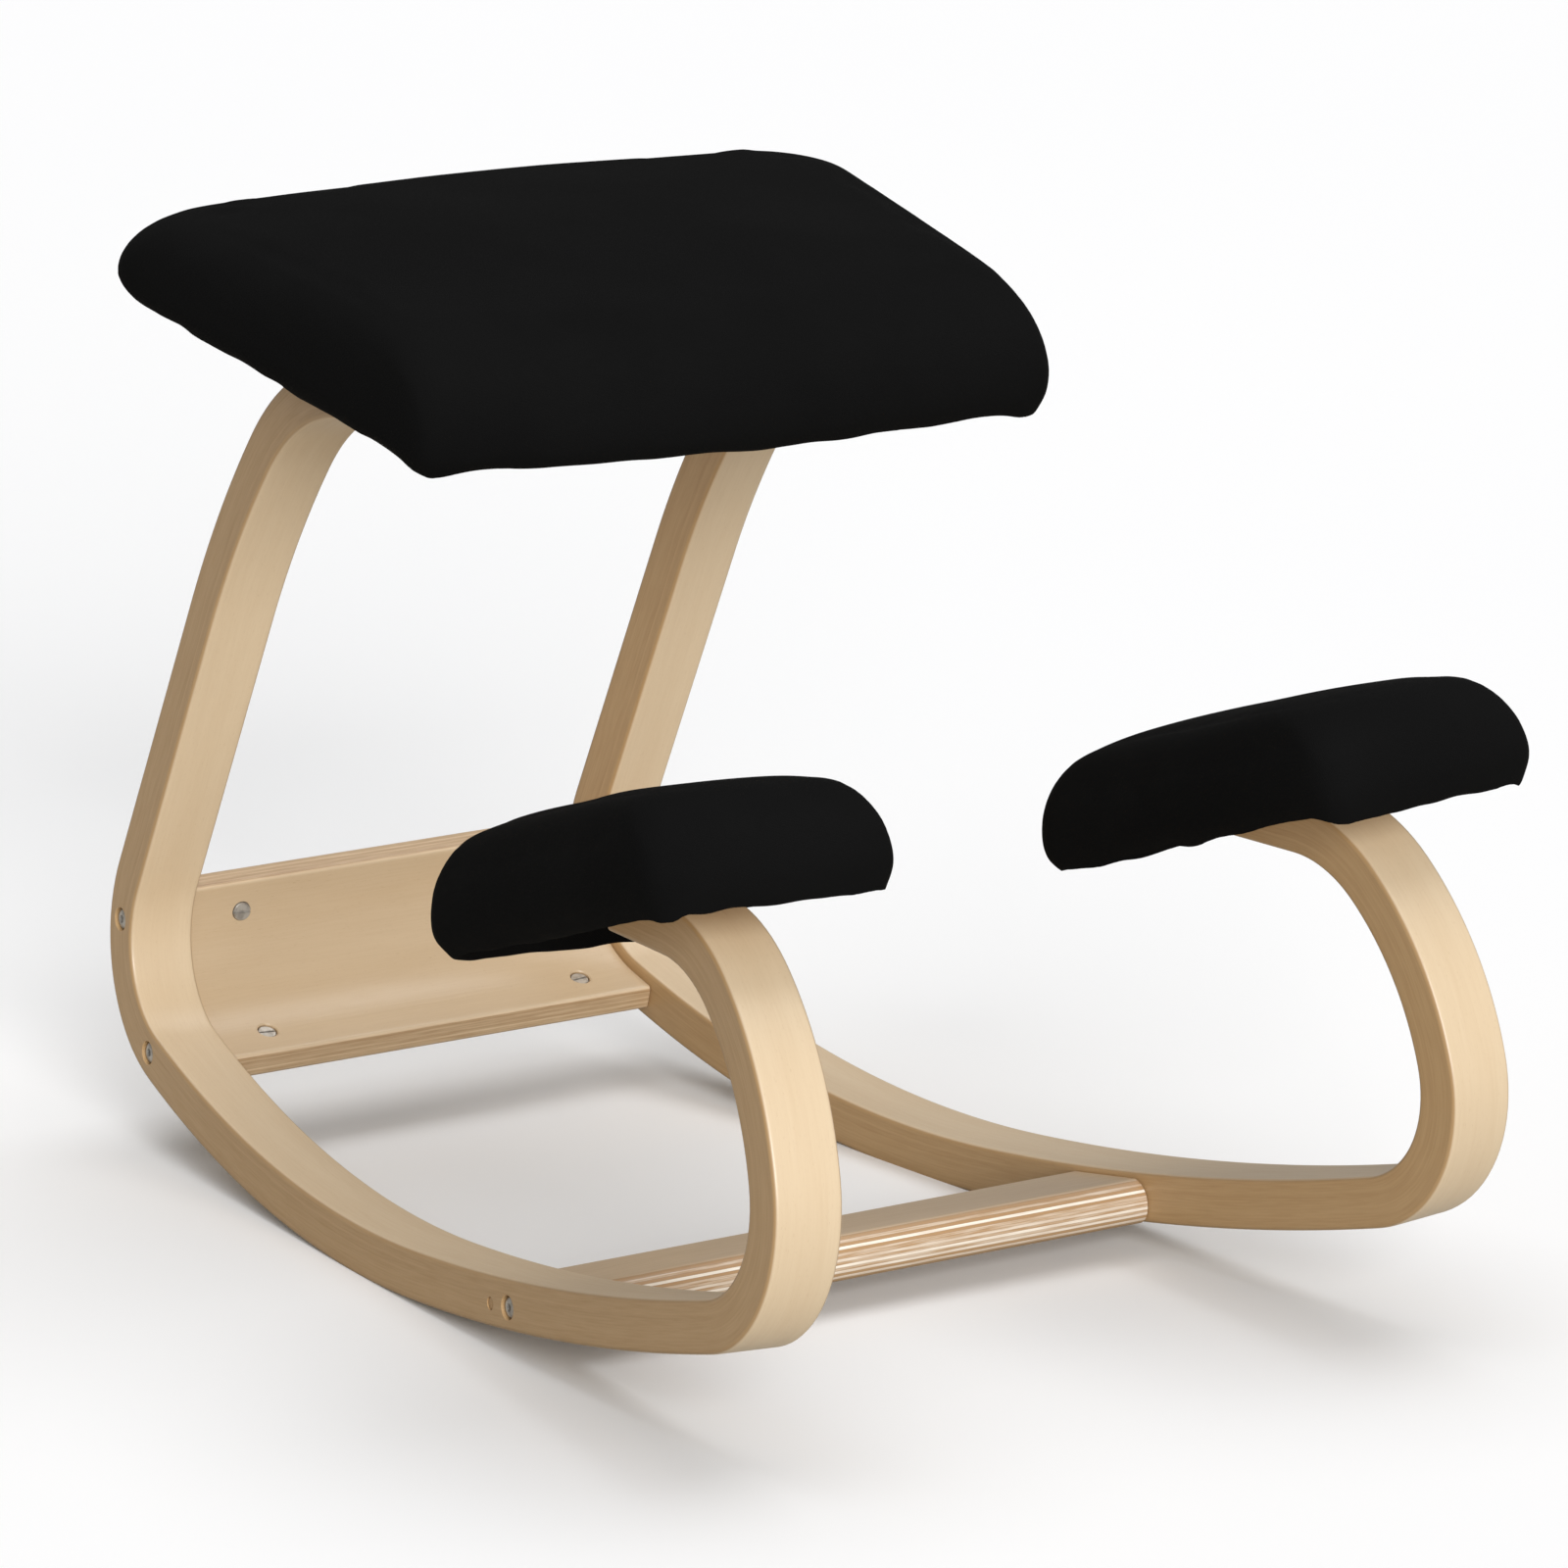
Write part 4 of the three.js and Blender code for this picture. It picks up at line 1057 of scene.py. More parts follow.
@dataclass
class Finishes:
    """Every finish of the chair, ready for its pieces."""

    effects: Effects = field(default_factory=Effects)
    of: dict[Slot, bpy.types.Material] = field(default_factory=dict)

    def __post_init__(self) -> None:
        """Builds one material for each slot of the record."""
        self.of[Slot.BIRCH] = LaminateFinish(
            name="birch_laminate",
            face=(219, 197, 165),
            face_dark=(207, 181, 146),
            edge_light=(195, 161, 116),
            edge_dark=(174, 137, 92),
            line=(145, 107, 66),
            # Darker edge colour: a painted shade line along the runners' long edges
            arris=(160, 126, 86),
            half_thickness=13 * MM,
            half_width=18 * MM,
            pitch=1.53 * MM,
            line_share=0.14,
            layer_share=0.28,
            alternate_share=0.05,
        ).build(self.effects)
        self.of[Slot.PANEL] = LaminateFinish(
            name="panel_laminate",
            face=(207, 183, 150),
            face_dark=(194, 167, 131),
            edge_light=(215, 188, 152),
            edge_dark=(160, 124, 84),
            line=(120, 86, 52),
            # Paler edge colour: a painted highlight along the panel's long edges
            arris=(230, 210, 182),
            half_thickness=7 * MM,
            half_width=59.5 * MM,
            pitch=1.4 * MM,
            offset=0.0,
            line_share=0.3,
            layer_share=0.3,
            alternate_share=0.3,
            flame_width=0.03,
            roughness=0.36,
            coat=0.5,
            seed=2.0,
        ).build(self.effects)
        self.of[Slot.CROSSBAR] = LaminateFinish(
            name="crossbar_laminate",
            face=(204, 179, 147),
            face_dark=(186, 160, 126),
            edge_light=(252, 244, 230),
            edge_dark=(178, 142, 102),
            line=(118, 84, 54),
            # Paler edge colour: a painted highlight along the crossbar's long edges
            arris=(216, 193, 162),
            half_thickness=11.5 * MM,
            half_width=29 * MM,
            pitch=1.45 * MM,
            line_share=0.45,
            layer_share=0.62,
            alternate_share=0.6,
            flame_width=0.02,
            seed=5.0,
        ).build(self.effects)
        self.of[Slot.PLYWOOD] = LaminateFinish(
            name="board_plywood",
            face=(214, 192, 160),
            face_dark=(190, 163, 126),
            edge_light=(218, 197, 166),
            edge_dark=(150, 116, 80),
            line=(120, 88, 58),
            arris=(214, 192, 160),
            half_thickness=6 * MM,
            half_width=0.5,
            pitch=1.33 * MM,
            alternate_share=0.7,
            roughness=0.6,
            coat=0.0,
            seed=8.0,
        ).build(self.effects)
        self.of[Slot.DOWEL] = LaminateFinish(
            name="beech_dowel",
            face=(205, 170, 126),
            face_dark=(182, 146, 104),
            edge_light=(200, 165, 121),
            edge_dark=(176, 140, 99),
            line=(164, 128, 88),
            arris=(205, 170, 126),
            half_thickness=0.1,
            half_width=0.1,
            pitch=1.1 * MM,
            roughness=0.55,
            coat=0.0,
            seed=11.0,
        ).build(self.effects)
        self.of[Slot.FABRIC] = ClothFinish("black_cloth", (13, 13, 13), (17, 17, 17)).build(self.effects)
        self.of[Slot.STEEL] = SteelFinish("zinc_steel", (206, 202, 195), (166, 161, 154)).build()

    def dress(self, piece: bpy.types.Object, slot: Slot, *nodes: str) -> bpy.types.Object:
        """Gives a piece its material and ties it to the frame.

        Args:
            piece: The piece.
            slot: The material slot of its finish.
            nodes: The CAD nodes that it stands for.

        Returns:
            The same piece.
        """
        piece.data.materials.clear()
        piece.data.materials.append(self.of[slot])
        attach(piece, "root")
        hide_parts(*nodes)
        LOG.info("%s: %d faces", piece.name, len(piece.data.polygons))
        return piece


# Fasteners


@dataclass(frozen=True)
class Fasteners:
    """Bolts, barrel nuts, dowels and tee nuts, and the holes that take them."""

    bolt_diameter: float = 6 * MM
    bolt_hole: float = 6.8 * MM
    head_diameter: float = 11 * MM
    head_height: float = 4.2 * MM
    crown_share: float = 0.62
    head_hole: float = 12 * MM
    head_depth: float = 5 * MM
    rim: float = 0.5 * MM
    socket: float = 4 * MM
    socket_depth: float = 2.4 * MM
    thread_pitch: float = 1 * MM
    thread_length: float = 14 * MM
    groove_share: float = 0.88
    tip_share: float = 0.8
    past_nut: float = 2 * MM
    nut_diameter: float = 10 * MM
    nut_hole: float = 10.6 * MM
    nut_rim: float = 0.35 * MM
    panel_nut: float = 12 * MM
    crossbar_nut: float = 13 * MM
    crossbar_nut_hole_depth: float = 18 * MM
    slot_width: float = 1.2 * MM
    slot_depth: float = 1 * MM
    dowel_diameter: float = 6 * MM
    dowel_hole: float = 6.6 * MM
    dowel_in_bar: float = 22 * MM
    dowel_from_bolt: float = 18 * MM
    dowel_sunk: float = 0.5 * MM
    tee_flange: float = 19 * MM
    tee_flange_thickness: float = 1.5 * MM
    tee_barrel: float = 8.4 * MM
    tee_length: float = 9 * MM
    overrun: float = 4 * MM

    def bolt(self, name: str, length: float, place: Matrix) -> bpy.types.Object:
        """Makes a bolt with a low round head below z = 0 and a threaded shank above it.

        Args:
            name: The piece's name.
            length: The length from the head's underside to the tip.
            place: The matrix from the bolt's frame to the chair's.

        Returns:
            The new object.
        """
        head, shank = self.head_diameter / 2, self.bolt_diameter / 2
        top = -self.head_height
        fall = self.head_height * self.crown_share
        profile = [(head * across, top + fall * down) for across, down in HEAD_CROWN]
        profile += [(head, -0.12 * self.head_height), (0.97 * head, 0.0), (shank, 0.0)]
        turn = length - min(self.thread_length, 0.6 * length)
        profile.append((shank, turn))
        groove = self.groove_share * shank
        while turn + self.thread_pitch < length - self.thread_pitch:
            profile += [(groove, turn + 0.45 * self.thread_pitch), (shank, turn + 0.9 * self.thread_pitch)]
            turn += self.thread_pitch
        profile += [(self.tip_share * shank, length), (0.0, length)]
        piece = lathe(name, profile, place)
        across = self.socket / math.sqrt(3)
        socket = lathe(
            "socket",
            [(0, top - self.overrun), (across, top - self.overrun), (across, top + self.socket_depth),
             (0, top + self.socket_depth + 0.4 * across)],
            place,
            segments=6,
        )
        cut(piece, [socket])
        smooth(piece)
        return piece

    def barrel_nut(self, name: str, length: float, place: Matrix) -> bpy.types.Object:
        """Makes a barrel nut along +Z about z = 0, slotted at its top, with a cross hole along X.

        Args:
            name: The piece's name.
            length: The nut's length.
            place: The matrix of the nut's frame.

        Returns:
            The new piece.
        """
        radius, half, edge = self.nut_diameter / 2, length / 2, 0.5 * MM
        profile = [
            (0.0, -half), (radius - edge, -half), (radius, edge - half),
            (radius, half - edge), (radius - edge, half), (0.0, half),
        ]
        piece = lathe(name, profile, place)
        hole_place = place @ Matrix.Rotation(math.pi / 2, 4, "Y")
        hole = lathe("hole", rod(self.bolt_hole, -self.nut_diameter, self.nut_diameter), hole_place)
        reach, side = self.nut_diameter, self.slot_width / 2
        corners = [(-reach, -side), (reach, -side), (reach, side), (-reach, side)]
        levels = (half - self.slot_depth, half + self.overrun)
        slot = loft("slot", [[(x, y, z) for x, y in corners] for z in levels], place)
        cut(piece, [hole, slot])
        smooth(piece)
        return piece

    def tee_nut(self, name: str, place: Matrix) -> bpy.types.Object:
        """Makes a tee nut with its flange's top at z = 0 and its barrel below.

        Args:
            name: The piece's name.
            place: The matrix of the nut's frame.

        Returns:
            The new piece.
        """
        bore, barrel, flange = self.bolt_hole / 2, self.tee_barrel / 2, self.tee_flange / 2
        edge, thick = 0.3 * MM, self.tee_flange_thickness
        end = -self.tee_length
        profile = [
            (bore + edge, 0.0), (bore, -edge), (bore, end + edge), (bore + edge, end),
            (barrel - edge, end), (barrel, end + edge), (barrel, -thick - edge),
            (barrel + edge, -thick), (flange - edge, -thick), (flange, edge - thick), (flange, -edge),
            (flange - edge, 0.0),
        ]
        piece = lathe(name, profile, place, hollow=True)
        smooth(piece)
        return piece

    def dowel(self, name: str, end: float, place: Matrix) -> bpy.types.Object:
        """Makes a dowel along +Z with rounded ends, from just under the face to an end.

        Args:
            name: The piece's name.
            end: The height of its far end.
            place: The matrix of its frame.

        Returns:
            The new piece.
        """
        radius, edge, start = self.dowel_diameter / 2, 0.6 * MM, self.dowel_sunk
        profile = [
            (0.0, start), (radius - edge, start), (radius - 0.3 * edge, start + 0.3 * edge),
            (radius, start + edge), (radius, end - edge), (radius - edge, end), (0.0, end),
        ]
        piece = lathe(name, profile, place, segments=32)
        smooth(piece)
        return piece

    def stepped_hole(
        self, head_start: float, seat: float, end: float, face: Optional[float], place: Matrix
    ) -> bpy.types.Object:
        """Makes the cutter for a bolt: a head hole, then a shank hole, with a broken rim.

        Args:
            head_start: The height at which the head hole's cutter starts, outside the piece.
            seat: The height of the head's seat.
            end: The height at which the shank hole ends.
            face: The height of the piece's face, where the rim is broken, or None.
            place: The matrix from the hole's frame to the chair's.

        Returns:
            The cutter.
        """
        head, shank = self.head_hole / 2, self.bolt_hole / 2
        profile = [(0.0, head_start)]
        if face is None:
            profile.append((head, head_start))
        else:
            flare = head + self.rim + (face - head_start)
            profile += [(flare, head_start), (head, face + self.rim)]
        profile += [(head, seat), (shank, seat), (shank, end), (0.0, end)]
        return lathe("stepped_hole", profile, place)


def rod(diameter: float, bottom: float, top: float) -> Profile:
    """Returns the lathe profile of a plain round cutter."""
    return [(0.0, bottom), (diameter / 2, bottom), (diameter / 2, top), (0.0, top)]


def flared_rod(diameter: float, bottom: float, face: float, rim: float, overrun: float) -> Profile:
    """Returns the lathe profile of a round cutter that breaks the rim at a face above it."""
    radius, top = diameter / 2, face + overrun
    return [(0.0, bottom), (radius, bottom), (radius, face - rim), (radius + rim + overrun, top), (0.0, top)]


@dataclass
class SideBolt:
    """One bolt through a runner into a barrel nut of the panel or the crossbar."""

    name: str
    line: MiddleLine
    distance: float
    inward: float
    nut_length: float
    flipped: bool


@dataclass
class Joinery:
    """Where every side bolt, dowel and board bolt stands."""

    plan: ChairPlan
    parts: Fasteners = field(default_factory=Fasteners)
    panel_before_bend: float = 18 * MM
    panel_length: float = 119 * MM
    panel_bolt_from_top: float = 18 * MM
    panel_bolt_from_bottom: float = 23 * MM
    rail_grip: float = 17 * MM
    knee_grip: float = 6 * MM
    rail_spacing: float = 34 * MM
    rail_from_end: float = 13 * MM
    knee_spacing: float = 26 * MM
    knee_from_end: float = 19 * MM
    board_thickness: float = 12 * MM
    tee_sunk: float = 0.3 * MM
    below_tee_top: float = 1 * MM

    @property
    def panel_start(self) -> float:
        """The distance along the rear line at which the panel starts."""
        return self.plan.rear.start_of(2) - self.panel_before_bend

    @property
    def head_seat(self) -> float:
        """The distance of a side bolt's head seat from the runner's middle."""
        return self.plan.strip_width / 2 - self.parts.head_depth

    @property
    def side_bolt_length(self) -> float:
        """The length of a side bolt under its head."""
        past = self.parts.nut_diameter / 2 + self.parts.past_nut
        return self.head_seat + self.plan.strip_width / 2 + self.plan.nut_from_face + past

    def side_bolts(self) -> list[SideBolt]:
        """Lists the three side bolts of a runner.

        Returns:
            The panel's two bolts and the crossbar's.
        """
        lower = self.panel_start + self.panel_bolt_from_bottom
        upper = self.panel_start + self.panel_length - self.panel_bolt_from_top
        plan, nut = self.plan, self.parts.panel_nut
        front, bar = plan.front, self.parts.crossbar_nut
        return [
            SideBolt("panel_lower", plan.rear, lower, 0.0, nut, False),
            SideBolt("panel_upper", plan.rear, upper, 0.0, nut, False),
            SideBolt("crossbar", front, plan.crossbar_distance, -plan.crossbar_drop, bar, True),
        ]

    def bolt_place(self, side: Side, bolt: SideBolt) -> Matrix:
        """Returns the matrix of a side bolt, its head's seat at the counterbore, running inwards."""
        seat = bolt.line.place(bolt.distance, bolt.inward, side.value * self.head_seat)
        return self.plan.runner[side] @ stand_along(seat, -ACROSS * side.value)

    def nut_place(self, side: Side, bolt: SideBolt) -> Matrix:
        """Finds the place of a barrel nut, its top square to the bolt.

        Args:
            side: The side of the chair.
            bolt: The nut's bolt.

        Returns:
            The matrix of the nut's frame.
        """
        lateral = -side.value * (self.plan.strip_width / 2 + self.plan.nut_from_face)
        centre = bolt.line.place(bolt.distance, bolt.inward, lateral)
        up = bolt.line.inward(bolt.distance) * (-1 if bolt.flipped else 1)
        turn = Matrix((ACROSS, up.cross(ACROSS), up)).transposed().to_4x4()
        return self.plan.runner[side] @ Matrix.Translation(centre) @ turn

    def dowel_place(self, side: Side) -> Matrix:
        """Finds the place of the dowel beside the crossbar's bolt.

        Args:
            side: The side of the chair.

        Returns:
            The matrix of the dowel's frame.
        """
        plan = self.plan
        distance = plan.crossbar_distance - self.parts.dowel_from_bolt
        outer = plan.front.place(distance, -plan.crossbar_drop, side.value * plan.strip_width / 2)
        return plan.runner[side] @ stand_along(outer, -ACROSS * side.value)

    @property
    def dowel_end(self) -> float:
        """The depth of a dowel's hole from the runner's outer face."""
        return self.plan.strip_width + self.parts.dowel_in_bar

    def board_places(self, side: Side, knee: bool) -> list[Matrix]:
        """Finds the places of a board's bolts on one side.

        Args:
            side: The side of the chair.
            knee: Whether the board is a knee rest's.

        Returns:
            The matrices of the bolts, the front one first.
        """
        plan = self.plan
        if knee:
            line, board, from_end = plan.front, plan.knee[side], self.knee_from_end
            offsets = (self.knee_spacing, 0.0)
        else:
            line, board, from_end = plan.rear, plan.seat, self.rail_from_end
            offsets = (0.0, self.rail_spacing)
        places = []
        for further in offsets:
            point = plan.runner[side] @ line.place(line.length - from_end - further, 0, 0)
            flat = board.inverted() @ point
            flat.z = 0.0
            places.append(board @ Matrix.Translation(flat))
        return places

    def runner_cutters(self, side: Side) -> list[bpy.types.Object]:
        """Makes the cutters for all the holes of one runner.

        Args:
            side: The side of the chair.

        Returns:
            The cutters.
        """
        parts, over = self.parts, self.parts.overrun
        face, end = -parts.head_depth, self.side_bolt_length + over
        cutters = [
            parts.stepped_hole(face - over, 0.0, end, face, self.bolt_place(side, bolt))
            for bolt in self.side_bolts()
        ]
        hole = rod(parts.dowel_hole, -over, self.dowel_end)
        cutters.append(lathe("dowel_hole", hole, self.dowel_place(side)))
        start = -2 * self.plan.strip_thickness
        for knee, grip in ((False, self.rail_grip), (True, self.knee_grip)):
            for place in self.board_places(side, knee):
                cutters.append(parts.stepped_hole(start, -grip, over, None, place))
        return cutters

    def build(self, finishes: Finishes) -> None:
        """Builds and dresses every fastener.

        Args:
            finishes: The finishes of the chair.
        """
        parts = self.parts
        for side in Side:
            for bolt in self.side_bolts():
                name = f"{bolt.name}_bolt_{side.label}"
                made = parts.bolt(f"{name}_piece", self.side_bolt_length, self.bolt_place(side, bolt))
                finishes.dress(made, Slot.STEEL, name)
                name = f"{bolt.name}_nut_{side.label}"
                made = parts.barrel_nut(f"{name}_piece", bolt.nut_length, self.nut_place(side, bolt))
                finishes.dress(made, Slot.STEEL, name)
            name = f"crossbar_dowel_{side.label}"
            end = self.dowel_end - self.plan.clearance
            place = self.dowel_place(side)
            made = parts.dowel(f"{name}_piece", end, place)
            local = transformed(coordinates(made), place.inverted())
            save_vectors(made, GRAIN, local[:, [2, 0, 1]])
            finishes.dress(made, Slot.DOWEL, name)
            for knee, prefix, grip in ((False, "seat", self.rail_grip), (True, "knee", self.knee_grip)):
                self._build_board_bolts(finishes, side, knee, f"{prefix}_{side.label}", grip)

    def _build_board_bolts(
        self, finishes: Finishes, side: Side, knee: bool, prefix: str, grip: float
    ) -> None:
        """Builds the bolts that hold a board, and their tee nuts.

        Args:
            finishes: The finishes of the chair.
            side: The side of the chair.
            knee: Whether the board is a knee rest's, and not the seat's.
            prefix: How the nodes' names start.
            grip: The wood between a bolt's head and the board.
        """
        top = self.board_thickness - self.tee_sunk
        length = grip + self.plan.clearance + top - self.below_tee_top
        for place, end in zip(self.board_places(side, knee), ("front", "rear")):
            seat = place @ Matrix.Translation((0, 0, -grip - self.plan.clearance))
            name = f"{prefix}_bolt_{end}"
            finishes.dress(self.parts.bolt(f"{name}_piece", length, seat), Slot.STEEL, name)
            name = f"{prefix}_tee_nut_{end}"
            nut = self.parts.tee_nut(f"{name}_piece", place @ Matrix.Translation((0, 0, top)))
            finishes.dress(nut, Slot.STEEL, name)


# Wooden parts


def between_runners(ring: Callable[[Side, float], list[Vector]], end_round: float) -> list[list[Vector]]:
    """Lists the rings of a piece that joins the runners, with its ends rounded.

    Args:
        ring: Makes the ring at a side, from the side and how far the ring is drawn in.
        end_round: How far the rings at the very ends are drawn in.

    Returns:
        Four rings, from the left runner to the right one.
    """
    ends = ((Side.LEFT, end_round), (Side.LEFT, 0.0), (Side.RIGHT, 0.0), (Side.RIGHT, end_round))
    return [ring(side, inset) for side, inset in ends]


@dataclass
class Runner:
    """One bent laminated strip, from the knee rest round the rocker to the seat."""

    plan: ChairPlan
    joinery: Joinery
    fillet: float = 2.1 * MM
    end_round: float = 1.2 * MM
    step: float = 5 * MM
    floor_slab: float = 1.5
    seat_slab: float = 0.6
    knee_slab: float = 0.212

    def _ring(self, line: MiddleLine, distance: float, inset: float = 0.0) -> list[Vector]:
        """Places the runner's section.

        Args:
            line: The runner's line.
            distance: The distance along it.
            inset: How far it is drawn in.

        Returns:
            The ring's points.
        """
        section = rounded_section(
            self.plan.strip_width - 2 * inset, self.plan.strip_thickness - 2 * inset, self.fillet
        )
        return [line.place(distance, inward, lateral) for lateral, inward in section]

    def _distances(self, line: MiddleLine) -> list[float]:
        """Lists the distances of the rings along a line, one at each change of curve.

        Args:
            line: The runner's line.

        Returns:
            The distances, from the line's start.
        """
        distances = [0.0]
        for stretch in line.stretches:
            count = max(1, math.ceil(stretch.length / self.step))
            start = distances[-1]
            distances += [start + stretch.length * (i + 1) / count for i in range(count)]
        distances[-1] -= self.end_round
        return distances

    def build(self, side: Side, finishes: Finishes) -> bpy.types.Object:
        """Builds and dresses the runner of one side.

        Args:
            side: The side of the chair.
            finishes: The finishes of the chair.

        Returns:
            The new piece.
        """
        plan, front, rear = self.plan, self.plan.front, self.plan.rear
        rings = [self._ring(front, front.length, self.end_round)]
        rings += [self._ring(front, distance) for distance in reversed(self._distances(front)[1:])]
        rings += [self._ring(rear, distance) for distance in self._distances(rear)]
        rings.append(self._ring(rear, rear.length, self.end_round))
        name = f"runner_{side.label}"
        piece = loft(f"{name}_piece", rings, plan.runner[side])
        lower = Matrix.Translation((0, 0, -plan.clearance))
        cutters = [
            slab(self.floor_slab, Matrix.Rotation(math.pi, 4, "X")),
            slab(self.seat_slab, plan.seat @ lower),
            slab(self.knee_slab, plan.knee[side] @ lower),
        ]
        cut(piece, cutters + self.joinery.runner_cutters(side))
        smooth(piece)
        local = transformed(coordinates(piece), plan.runner[side].inverted())
        save_vectors(piece, GRAIN, plan.unroll(local))
        return finishes.dress(piece, Slot.BIRCH, name)


@dataclass
class RearPanel:
    """The bent plywood panel between the runners' rear bends."""

    plan: ChairPlan
    joinery: Joinery
    thickness: float = 14 * MM
    fillet: float = 2.4 * MM
    end_round: float = 0.7 * MM
    step: float = 4 * MM

    def _profile(self, inset: float) -> Profile:
        """Outlines the panel's bent section.

        Args:
            inset: How far it is drawn in.

        Returns:
            Pairs of distance along the line and inward place.
        """
        length = self.joinery.panel_length
        middle = self.joinery.panel_start + length / 2
        section = rounded_section(length - 2 * inset, self.thickness - 2 * inset, self.fillet)
        profile = []
        long_flat = 10 * self.step
        for number, (along, inward) in enumerate(section):
            profile.append((middle + along, inward))
            ahead, further = section[(number + 1) % len(section)]
            if abs(ahead - along) > long_flat:
                count = math.ceil(abs(ahead - along) / self.step)
                profile += [
                    (middle + along + (ahead - along) * i / count, inward + (further - inward) * i / count)
                    for i in range(1, count)
                ]
        return profile

    def _ring(self, side: Side, inset: float) -> list[Vector]:
        """Places the section at a runner's inner face.

        Args:
            side: The side of the chair.
            inset: How far the ring is drawn in.

        Returns:
            The ring's points.
        """
        lateral = -side.value * (self.plan.strip_width / 2 + self.plan.clearance + self.end_round - inset)
        runner, rear = self.plan.runner[side], self.plan.rear
        return [runner @ rear.place(along, inward, lateral) for along, inward in self._profile(inset)]

    def build(self, finishes: Finishes) -> bpy.types.Object:
        """Builds and dresses the panel.

        Args:
            finishes: The finishes of the chair.

        Returns:
            The new piece.
        """
        piece = loft("rear_panel_piece", between_runners(self._ring, self.end_round))
        joinery, parts = self.joinery, self.joinery.parts
        face, over = self.thickness / 2, parts.overrun
        cutters = []
        for side in Side:
            for bolt in joinery.side_bolts()[:2]:
                shank = rod(parts.bolt_hole, 0.0, joinery.side_bolt_length + over)
                cutters.append(lathe("shank_hole", shank, joinery.bolt_place(side, bolt)))
                hole = flared_rod(parts.nut_hole, -self.thickness, face, parts.nut_rim, over)
                cutters.append(lathe("nut_hole", hole, joinery.nut_place(side, bolt)))
        cut(piece, cutters)
        smooth(piece)
        places = coordinates(piece)
        measured = self.plan.unroll(self.plan.onto_inner_face(places))
        middle = joinery.panel_start + joinery.panel_length / 2
        save_vectors(piece, GRAIN, np.stack([places[:, 0], measured[:, 1], measured[:, 0] - middle], 1))
        return finishes.dress(piece, Slot.PANEL, "rear_panel")


@dataclass
class FrontCrossbar:
    """The bar of stacked plywood between the front of the rockers, with a rounded nose."""

    plan: ChairPlan
    joinery: Joinery
    depth: float = 58 * MM
    thickness: float = 23 * MM
    nose: float = 9 * MM
    rear_fillet: float = 2 * MM
    fillet_steps: int = 4
    end_round: float = 0.7 * MM
    nose_steps: int = 20

    def _section(self, inset: float) -> Profile:
        """Outlines the crossbar's section.

        Args:
            inset: How far it is drawn in.

        Returns:
            Pairs of place ahead of the middle and inward place.
        """
        half = self.thickness / 2
        rear = -self.depth / 2
        radius = self.rear_fillet
        section = []
        for (centre_y, centre_z), first in (
            ((rear + radius, half - radius), math.pi / 2),
            ((rear + radius, radius - half), math.pi),
        ):
            for step in range(self.fillet_steps + 1):
                angle = first + step * math.pi / (2 * self.fillet_steps)
                section.append((centre_y + radius * math.cos(angle), centre_z + radius * math.sin(angle)))
        section.insert(0, (rear + 2 * radius, half))
        section.append((rear + 2 * radius, -half))
        start = self.depth / 2 - self.nose
        section.append((start - radius, -half))
        for step in range(self.nose_steps + 1):
            angle = (step / self.nose_steps - 0.5) * math.pi
            section.append((start + self.nose * math.cos(angle), half * math.sin(angle)))
        section.append((start - radius, half))
        shares = (1 - 2 * inset / self.depth, 1 - 2 * inset / self.thickness)
        return [(ahead * shares[0], inward * shares[1]) for ahead, inward in section]

    def _ring(self, side: Side, inset: float) -> list[Vector]:
        """Places the section at a runner's inner face.

        Args:
            side: The side of the chair.
            inset: How far the ring is drawn in.

        Returns:
            The ring's points.
        """
        plan = self.plan
        lateral = -side.value * (plan.strip_width / 2 + plan.clearance + self.end_round - inset)
        forward = plan.front.forward(plan.crossbar_distance)
        ring = []
        for ahead, inward in self._section(inset):
            point = plan.front.place(plan.crossbar_distance, inward - plan.crossbar_drop, lateral)
            ring.append(plan.runner[side] @ (point + forward * ahead))
        return ring

    def build(self, finishes: Finishes) -> bpy.types.Object:
        """Builds and dresses the crossbar.

        Args:
            finishes: The finishes of the chair.

        Returns:
            The new piece.
        """
        piece = loft("front_crossbar_piece", between_runners(self._ring, self.end_round))
        joinery, parts = self.joinery, self.joinery.parts
        bolt = joinery.side_bolts()[2]
        cutters = []
        for side in Side:
            shank = rod(parts.bolt_hole, 0.0, joinery.side_bolt_length + parts.overrun)
            cutters.append(lathe("shank_hole", shank, joinery.bolt_place(side, bolt)))
            bottom = self.thickness / 2 - parts.crossbar_nut_hole_depth
            hole = flared_rod(parts.nut_hole, bottom, self.thickness / 2, parts.nut_rim, parts.overrun)
            cutters.append(lathe("nut_hole", hole, joinery.nut_place(side, bolt)))
            dowel_hole = rod(parts.dowel_hole, 0.0, joinery.dowel_end + parts.overrun)
            cutters.append(lathe("dowel_hole", dowel_hole, joinery.dowel_place(side)))
        cut(piece, cutters)
        smooth(piece)
        places = coordinates(piece)
        plan = self.plan
        middle = np.array(plan.front.place(plan.crossbar_distance, -plan.crossbar_drop, 0.0))
        off = plan.onto_inner_face(places) - middle
        ahead = off @ np.array(plan.front.forward(plan.crossbar_distance))
        inward = off @ np.array(plan.front.inward(plan.crossbar_distance))
        save_vectors(piece, GRAIN, np.stack([places[:, 0], inward, ahead], 1))
        return finishes.dress(piece, Slot.CROSSBAR, "front_crossbar")


# Cushions and their boards


@dataclass(frozen=True)
class Inset:
    """How far a ring of a cushion is drawn in at its sides, front and rear."""

    side: float = 0.0
    front: float = 0.0
    rear: float = 0.0

    def grown(self, margin: float) -> "Inset":
        """Returns the inset of a ring that is larger by a margin all round."""
        return Inset(self.side - margin, self.front - margin, self.rear - margin)

    def part(self, share: float) -> "Inset":
        """Returns a share of this inset."""
        return Inset(self.side * share, self.front * share, self.rear * share)


